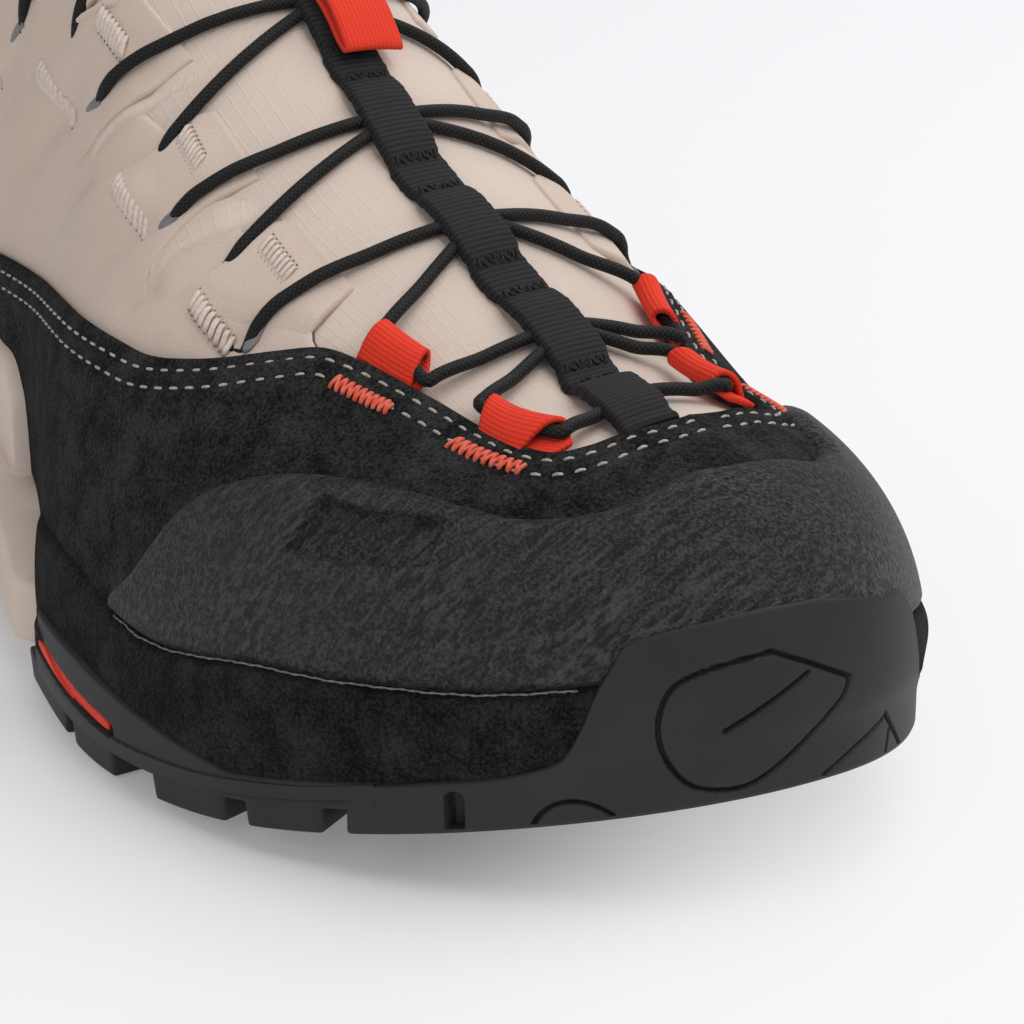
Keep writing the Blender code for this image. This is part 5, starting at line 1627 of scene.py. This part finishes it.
def build_tongue():
    stations = steps_over((0.1175, 0.236, 92), (0.236, 0.277, 36))
    shares = np.linspace(-1, 1, 61)
    turns = np.empty((len(stations), len(shares)))
    climbs = np.empty_like(turns)
    for i, station in enumerate(stations):
        wider = 0.011 * plateau(0.125, 0.150, 0.262, 0.276, station)
        for j, share in enumerate(shares):
            half = (tongue_lateral(station) if share < 0 else tongue_medial(station)) + wider
            turns[i, j], climbs[i, j] = place_on_form(ridge(station) + share * half, station)
    ahead = smooth_step(0.640, 0.680, np.abs(turns))
    edge = top_edge(np.abs(turns)) * (1 - ahead) + suede_edge(np.abs(turns)) * ahead
    offset = TONGUE_UNDER + (TONGUE_OPEN - TONGUE_UNDER) * smooth_step(edge - 0.07, edge + 0.012, climbs)
    out = outward(turns, climbs)
    puff = 0.0007 * np.cos(shares * np.pi / 2)[None] * (1 - smooth_step(0.22, 0.25, stations))[:, None]
    work = sheet_from(form(turns, climbs, offset) + out * puff[..., None], out=out)
    add_piece(work, "tongue_ripstop", "ripstop", ["tongue"], thickness=TONGUE_THICK)


def from_keeper(station):
    """Distance along the strap from the nearest place where the lace runs under it."""
    return np.min([np.abs(station - keeper) for keeper in KEEPERS[:-1]], axis=0)


def strap_lift(station):
    """How far the lace lifts the strap."""
    return STRAP_LIFT * (1 - smooth_step(0.30, 1.0, from_keeper(station) / STRAP_LIFT_REACH))


def strap_half(station, width):
    """Half the strap's width: drawn in a little where it is sewn down."""
    drawn = np.zeros_like(station)
    for keeper in KEEPERS[:-1]:
        drawn = np.maximum(drawn, np.exp(-((np.abs(station - keeper) - STRAP_SEAM) / 0.0011) ** 2))
    return width / 2 * (1 - 0.07 * drawn + 0.012 * np.sin(station * 2900) + 0.010 * np.sin(station * 5400))


def build_strap(sizes):
    stations = np.linspace(*STRAP_ENDS, 330)
    share = clustered(18, share=0.06) * 2 - 1
    half = strap_half(stations, sizes.strap_width)[:, None]
    x = strap_middle(stations)[:, None] + half * share
    edge = rolled((1 - np.abs(share)) * half, 0.0006)
    ends = rolled(np.minimum(stations - stations[0], stations[-1] - stations), 0.0008)[:, None]
    doubled = 1 - smooth_step(0.0062, STRAP_SEAM, from_keeper(stations))
    lift = strap_lift(stations) + 0.00016 * doubled
    height = STRAP_LOW + lift[:, None] + STRAP_THICK * edge * (0.4 + 0.6 * ends)
    along = np.repeat(stations[:, None], len(share), 1)
    points = crown(x, along, height)
    work = sheet_from(points, out=crown(x, along, height + 0.001) - points)
    add_piece(work, "strap_webbing", "webbing", ["strap"], thickness=WEBBING_THICK)
    build_strap_tacks(sizes)


def build_strap_tacks(sizes):
    """Rows of black stitches across the strap, before and behind each keeper."""
    tacks = cloth_mesh()
    for keeper in KEEPERS[:-1]:
        for way in (-1, 1):
            station = keeper + way * STRAP_TACK
            if not STRAP_ENDS[0] + 0.002 < station < STRAP_ENDS[1] - 0.002:
                continue
            share = np.linspace(-0.80, 0.80, 97)
            places = station + 0.0006 * np.sin(share * 23)
            x = strap_middle(places) + sizes.strap_width / 2 * share
            wave = np.abs(np.sin(share / 0.80 * np.pi * 4))
            path = crown(x, places, STRAP_LOW + STRAP_THICK + strap_lift(places) - 0.0002 + 0.00032 * wave)
            join_into(tacks, tube_from(path, 0.00028, 6))
    add_piece(tacks, "strap_tacks", "braid")


def build_pull_tab():
    """A red band folded back on itself over the strap."""
    low, high = PULL_TAB_STATIONS
    seat = STRAP_LOW + STRAP_THICK
    line = [(low - 0.0015, seat + 0.0006), (low + 0.0030, seat + 0.0006), (high - 0.0020, seat + 0.0008),
            (high - 0.0002, seat + 0.0013), (high + 0.0002, seat + 0.0024), (high - 0.0012, seat + 0.0033),
            (low + 0.0035, seat + 0.0035), (low - 0.0015, seat + 0.0032)]
    path = smooth_path(line, 70)
    share = np.linspace(-1, 1, 15)
    x = strap_middle(path[:, :1]) + PULL_TAB_SHIFT + PULL_TAB_HALF * share
    station = np.repeat(path[:, :1], len(share), 1)
    points = crown(x, station, path[:, 1:] + strap_lift(station))
    work = sheet_from(points, out=np.cross(np.gradient(points, axis=1), np.gradient(points, axis=0)))
    add_piece(work, "pull_tab_webbing", "red", ["pull_tab"], thickness=WEBBING_THICK)


def build_loops():
    for side, word in ((-1, "lateral"), (1, "medial")):
        for number, corners in enumerate(LOOPS):
            shift = np.array(MEDIAL_SHIFT[number]) * (side > 0)
            rear_low, rear_high, front_high, front_low = (np.array(c) + shift for c in corners)
            section = smooth_path([(d * 6, h * 1000) for d, h in LOOP_SECTION], LOOP_ROWS)
            a = np.linspace(0, 1, LOOP_COLUMNS)[:, None, None]
            d = (section[:, 0] / 6)[None, :, None]
            low = rear_low * (1 - a) + front_low * a
            high = rear_high * (1 - a) + front_high * a
            place = low * (1 - d) + high * d
            under = smooth_step(30, 42, np.arange(LOOP_ROWS))[None] * (a[..., 0] ** 2)
            turn = side * (place[..., 0] + LOOP_FOOT[number] * under)
            climb = place[..., 1]
            sag = 0.0003 * np.sin(a[..., 0] * np.pi)
            offset = section[:, 1][None] / 1000 - sag * (section[:, 1] / 4)[None]
            points = form(turn, climb, offset)
            centre = form(turn, climb, 0.0019)[:, 14:34].mean(1, keepdims=True)
            work = sheet_from(points, out=points - centre)
            add_piece(work, "lace_loop_%s_%d" % (word, number + 1), "red",
                      ["loop_%s_%d" % (word, number + 1)], thickness=LOOP_THICK)


def taut(start, end):
    """Places of a string pulled tight over the form between two places, found coarse first and then finer."""
    places = np.array([start, end], float)
    for _ in range(4):
        finer = np.empty((2 * len(places) - 1, 2))
        finer[::2] = places
        finer[1::2] = (places[:-1] + places[1:]) / 2
        places = finer
        for _ in range(30):
            points = form(places[:, 0], places[:, 1])
            pull = (points[:-2] + points[2:]) / 2 - points[1:-1]
            turn_step, climb_step = tangent_step(*places[1:-1].T, pull)
            places[1:-1, 0] += turn_step
            places[1:-1, 1] = np.minimum(places[1:-1, 1] + climb_step, 0.99)
    return places


def holder(side, places, row):
    """Where the lace meets a loop or finger on one side."""
    if side > 0 and row < len(LOOPS):
        return np.add(places[row], MEDIAL_SHIFT[row])
    return np.array(places[row])


def strand(side, held, keeper, over_finger, in_loop):
    """Half a crossing, from its holder to the strap's keeper, resting on what lies below."""
    near_ridge = place_on_form(ridge(keeper) + side * 0.0016, keeper)
    start = (side * held[0], held[1])
    places = taut(start, (side * abs(near_ridge[0]), near_ridge[1]))[1:]
    share = np.linspace(0, 1, len(places) + 1)[1:]
    offset = np.full(len(places), LACE_LOW)
    if over_finger:
        past = smooth_step(0.03, 0.15, places[:, 1] - top_edge(np.abs(places[:, 0])))
        dip = 0.0011 * (1 - smooth_step(0.0, 0.12, share))
        offset = LACE_OVER_FINGER + (LACE_LOW - LACE_OVER_FINGER) * past - dip
    if in_loop:
        offset = LACE_IN_LOOP + (LACE_LOW - LACE_IN_LOOP) * smooth_step(0.05, 0.45, share)
    return list(form(places[:, 0], places[:, 1], offset))


def lace_run(side):
    """One half of the lace: out of the front bar, then from side to side up to the top fingers."""
    points = [crown(ridge(KEEPERS[0]), KEEPERS[0], LACE_LOW)]
    points += strand(side, holder(side, LACE_FRONT, 0), KEEPERS[0], False, True)[::-1]
    for row in range(len(LACE_FRONT)):
        points += through_holder(side, row)
        if row + 1 < len(LACE_FRONT):
            keeper = KEEPERS[row + 1]
            held = holder(side, LACE_REAR, row)
            points += strand(side, held, keeper + CROSSING_HALF, False, row < len(LOOPS))
            points.append(crown(ridge(keeper), keeper, LACE_LOW + 0.0002))
            side = -side
            loop_next = row + 1 < len(LOOPS)
            held = holder(side, LACE_FRONT, row + 1)
            points += strand(side, held, keeper - CROSSING_HALF, not loop_next, loop_next)[::-1]
    return np.array(points)


def through_holder(side, row):
    """The lace inside a loop, or turning round under a finger."""
    front = holder(side, LACE_FRONT, row)
    rear = holder(side, LACE_REAR, row)
    if row < len(LOOPS):
        places = (front, (front + rear) / 2, rear)
        heights = (LACE_IN_LOOP, LACE_IN_LOOP, LACE_IN_LOOP)
    else:
        lower = np.array([0.0, -LACE_DROP])
        places = (front, front + lower, (front + rear) / 2 + 1.5 * lower, rear + lower, rear)
        heights = (0.0002, -0.0013, -0.0018, -0.0013, 0.0002)
    return [form(side * place[0], place[1], height) for place, height in zip(places, heights)]


def build_lace(sizes):
    names = ["lace_bar"] + ["lace_crossing_%d" % k for k in range(1, 6)]
    for number, side in ((1, -1), (2, 1)):
        path = smooth_path(lace_run(side), 900)
        work = tube_from(path, sizes.lace_diameter / 2, 14)
        add_piece(work, "lace_run_%d" % number, "braid", names)


# Studio

def build_stage(stage):
    scene = bpy.context.scene
    scene.view_settings.view_transform = "Standard"
    floor = bmesh.new()
    bmesh.ops.create_grid(floor, x_segments=8, y_segments=8, size=stage.floor_half)
    mesh = bpy.data.meshes.new("studio_floor")
    floor.to_mesh(mesh)
    floor.free()
    mesh.materials.append(glowing_floor_material("studio_table_white", tuple(stage.floor_colour) + (1.0,),
                                         stage.floor_painted_glow, stage.floor_painted_front_glow))
    board = bpy.data.objects.new("studio_floor", mesh)
    scene.collection.objects.link(board)

    world = bpy.data.worlds.new("studio")
    world.use_nodes = True
    background = world.node_tree.nodes["Background"]
    background.inputs["Color"].default_value = tuple(stage.sky_colour) + (1.0,)
    background.inputs["Strength"].default_value = stage.sky_strength
    scene.world = world

    lights = (("overhead", (0.40, -0.45, 1.15), 1.4, stage.overhead_watts),
              ("left_front", (-1.1, -0.7, 0.7), 0.9, stage.side_watts),
              ("right_back", (0.9, 0.5, 0.9), 0.8, stage.back_watts))
    for name, place, size, watts in lights:
        lamp = bpy.data.lights.new(name, "AREA")
        lamp.size = size
        lamp.energy = watts
        stand = bpy.data.objects.new(name, lamp)
        stand.location = place
        stand.rotation_euler = (Vector(LIGHT_TARGET) - Vector(place)).to_track_quat("-Z", "Y").to_euler()
        scene.collection.objects.link(stand)

    around = math.radians(stage.camera_turn)
    up = math.radians(stage.camera_rise)
    target = Vector(stage.camera_target)
    way = Vector((math.sin(around) * math.cos(up), -math.cos(around) * math.cos(up), math.sin(up)))
    lens = bpy.data.cameras.new("photo_view")
    lens.sensor_width = SENSOR_WIDTH
    lens.lens = SENSOR_WIDTH / 2 / math.tan(math.radians(stage.camera_angle) / 2)
    lens.clip_start = 0.01
    camera = bpy.data.objects.new("photo_view", lens)
    camera.location = target + way * stage.camera_distance
    camera.rotation_euler = (-way).to_track_quat("-Z", "Y").to_euler()
    scene.collection.objects.link(camera)
    scene.camera = camera


# Settings

def colour_setting(name, words, code):
    return bpy.props.FloatVectorProperty(
        name=name, description=words, default=linear(code)[:3], min=0.0, max=1.0, size=3, subtype="COLOR")


def length_setting(name, words, metres):
    return bpy.props.FloatProperty(
        name=name, description=words, default=metres, min=0.0, precision=5, unit="LENGTH", subtype="DISTANCE")


def number_setting(name, words, value, **limits):
    return bpy.props.FloatProperty(name=name, description=words, default=value, **limits)


class HikingShoeColours(bpy.types.PropertyGroup):
    """Colours of the shoe's materials."""
    rubber: colour_setting("Rubber", "Outsole and bumper", "#262527")
    foam: colour_setting("Foam", "Midsole", "#DAC8B9")
    suede: colour_setting("Suede", "Vamp and quarter suede", "#0C0B0B")
    rand: colour_setting("Rand", "Suede band over the sole", "#0C0C0D")
    cap: colour_setting("Toe cap", "Coated leather over the toe", "#141517")
    cloth: colour_setting("Cloth", "Upper and eyestay", "#CEBAAB")
    ripstop: colour_setting("Ripstop", "Tongue and gussets", "#D4C2B5")
    webbing: colour_setting("Webbing", "Strap along the tongue", "#121114")
    red: colour_setting("Red webbing", "Lace loops and pull tab", "#E43419")
    lace: colour_setting("Lace", "Braided cord", "#0E0E0F")
    stitch: colour_setting("Stitches", "Two rows round the suede", "#99938A")
    tack: colour_setting("Bar tacks", "Orange thread below the loops", "#D9481E")
    lining: colour_setting("Lining", "Inside of the collar and footbed", "#3A3A3D")
    lip: colour_setting("Lips", "Bindings of the lace holes", "#6C6A6D")
    needle_hole: colour_setting("Needle holes", "Shadowed thread at the ends of the tacks", "#7A6A5E")
    raw_edge: colour_setting("Raw edge", "Cut edge of the cap's leather", "#5E4E3B")


class HikingShoeSizes(bpy.types.PropertyGroup):
    """Sizes of the shoe's fine detail."""
    lace_diameter: length_setting("Lace diameter", "Thickness of the cord", 0.0019)
    strap_width: length_setting("Strap width", "Width of the webbing along the tongue", 0.0092)
    stitch_pitch: length_setting("Stitch pitch", "From one stitch to the next", 0.0030)
    stitch_length: length_setting("Stitch length", "Thread that shows of each stitch", 0.0020)
    ripstop_square: length_setting("Ripstop square", "Distance between the thick threads", 0.0021)
    webbing_rib: length_setting("Webbing rib", "Distance between ribs of the strap", 0.0009)
    groove_width: length_setting("Groove width", "Moulded grooves in the bumper", 0.0008)
    groove_depth: length_setting("Groove depth", "Moulded grooves in the bumper", 0.0009)
    collar_padding: length_setting("Collar padding", "Foam inside the collar", 0.0045)


class HikingShoeStage(bpy.types.PropertyGroup):
    """Floor, light and camera."""
    floor_half: length_setting("Floor", "Half the side of the floor", 4.0)
    floor_colour: colour_setting("Floor colour", "Studio table", "#E0E0E2")
    # painted light: the table glows of itself, and more under the toe, to thin the shadow there
    floor_painted_glow: number_setting("Floor glow", "Light that comes through the table", 0.19, min=0.0)
    floor_painted_front_glow: number_setting(
        "Floor glow in front", "Light that comes through the table under the toe", 0.66, min=0.0)
    sky_colour: colour_setting("Sky colour", "Light from all round", "#FBFBFF")
    sky_strength: number_setting("Sky strength", "Brightness of the light from all round", 0.34, min=0.0)
    overhead_watts: number_setting("Overhead", "Softbox over the shoe", 13.0, min=0.0, unit="POWER")
    side_watts: number_setting("Side", "Softbox in front of the lateral side", 3.2, min=0.0, unit="POWER")
    back_watts: number_setting("Back", "Softbox behind the medial side", 3.0, min=0.0, unit="POWER")
    camera_turn: number_setting("Camera turn", "Degrees round the shoe from the toe", -32.0)
    camera_rise: number_setting("Camera rise", "Degrees over the floor", 20.5)
    camera_angle: number_setting("Camera angle", "Field of view in degrees", 18.0, min=1.0)
    camera_distance: length_setting("Camera distance", "From the point it looks at", 0.487)
    camera_target: bpy.props.FloatVectorProperty(
        name="Camera target", description="Point that the camera looks at", default=(0.015, -0.0635, 0.025),
        size=3, subtype="XYZ", unit="LENGTH")


class SHOE_OT_outsole(bpy.types.Operator):
    """Moulded outsole with its lugs, toe bumper and sidewall panel"""
    bl_idname = "shoe.outsole"
    bl_label = "Outsole"

    def execute(self, context):
        build_outsole(context.scene.hiking_shoe_sizes)
        return {"FINISHED"}


class SHOE_OT_midsole(bpy.types.Operator):
    """Foam midsole and the footbed on it"""
    bl_idname = "shoe.midsole"
    bl_label = "Midsole and footbed"

    def execute(self, context):
        build_midsole()
        build_insole()
        return {"FINISHED"}


class SHOE_OT_upper(bpy.types.Operator):
    """Cloth upper with its padded collar and lining"""
    bl_idname = "shoe.upper"
    bl_label = "Upper"

    def execute(self, context):
        build_upper(context.scene.hiking_shoe_sizes)
        return {"FINISHED"}


class SHOE_OT_overlays(bpy.types.Operator):
    """Suede, toe cap and rand over the cloth"""
    bl_idname = "shoe.overlays"
    bl_label = "Overlays"

    def execute(self, context):
        build_suede()
        build_cap()
        build_raw_edge()
        build_rand()
        return {"FINISHED"}


class SHOE_OT_eyestay(bpy.types.Operator):
    """Eyestay fingers with the slits between them and the lace holes"""
    bl_idname = "shoe.eyestay"
    bl_label = "Eyestay"

    def execute(self, context):
        build_fingers()
        return {"FINISHED"}


class SHOE_OT_stitching(bpy.types.Operator):
    """Stitch rows and bar tacks"""
    bl_idname = "shoe.stitching"
    bl_label = "Stitching"

    def execute(self, context):
        build_stitches(context.scene.hiking_shoe_sizes)
        build_tacks()
        return {"FINISHED"}


class SHOE_OT_tongue(bpy.types.Operator):
    """Ripstop tongue"""
    bl_idname = "shoe.tongue"
    bl_label = "Tongue"

    def execute(self, context):
        build_tongue()
        return {"FINISHED"}


class SHOE_OT_webbing(bpy.types.Operator):
    """Strap, pull tab and lace loops"""
    bl_idname = "shoe.webbing"
    bl_label = "Webbing"

    def execute(self, context):
        build_strap(context.scene.hiking_shoe_sizes)
        build_pull_tab()
        build_loops()
        return {"FINISHED"}


class SHOE_OT_lace(bpy.types.Operator):
    """Braided lace through its loops and fingers"""
    bl_idname = "shoe.lace"
    bl_label = "Lace"

    def execute(self, context):
        build_lace(context.scene.hiking_shoe_sizes)
        return {"FINISHED"}


class SHOE_OT_stage(bpy.types.Operator):
    """Floor, light and camera"""
    bl_idname = "shoe.stage"
    bl_label = "Studio"

    def execute(self, context):
        build_stage(context.scene.hiking_shoe_stage)
        return {"FINISHED"}


OPERATORS = (SHOE_OT_stage, SHOE_OT_outsole, SHOE_OT_midsole, SHOE_OT_upper, SHOE_OT_overlays,
             SHOE_OT_eyestay, SHOE_OT_stitching, SHOE_OT_tongue, SHOE_OT_webbing, SHOE_OT_lace)


class SHOE_PT_pieces(bpy.types.Panel):
    """Lists the pieces of the shoe and their settings"""
    bl_idname = "SHOE_PT_pieces"
    bl_label = "Hiking shoe"
    bl_space_type = "VIEW_3D"
    bl_region_type = "UI"
    bl_category = "Shoe"

    def draw(self, context):
        column = self.layout.column()
        for operator in OPERATORS:
            column.operator(operator.bl_idname)
        for settings in (context.scene.hiking_shoe_sizes, context.scene.hiking_shoe_colours):
            for key in settings.__annotations__:
                column.prop(settings, key)


GROUPS = (("hiking_shoe_colours", HikingShoeColours), ("hiking_shoe_sizes", HikingShoeSizes),
          ("hiking_shoe_stage", HikingShoeStage))


def register():
    for name, group in GROUPS:
        bpy.utils.register_class(group)
        setattr(bpy.types.Scene, name, bpy.props.PointerProperty(type=group))
    for operator in OPERATORS:
        bpy.utils.register_class(operator)
    bpy.utils.register_class(SHOE_PT_pieces)


def unregister():
    bpy.utils.unregister_class(SHOE_PT_pieces)
    for operator in reversed(OPERATORS):
        bpy.utils.unregister_class(operator)
    for name, group in reversed(GROUPS):
        delattr(bpy.types.Scene, name)
        bpy.utils.unregister_class(group)


def main():
    register()
    bpy.ops.shoe.stage()
    bpy.ops.shoe.outsole()
    bpy.ops.shoe.midsole()
    bpy.ops.shoe.upper()
    bpy.ops.shoe.overlays()
    bpy.ops.shoe.eyestay()
    bpy.ops.shoe.stitching()
    bpy.ops.shoe.tongue()
    bpy.ops.shoe.webbing()
    bpy.ops.shoe.lace()


if __name__ == "__main__":
    main()
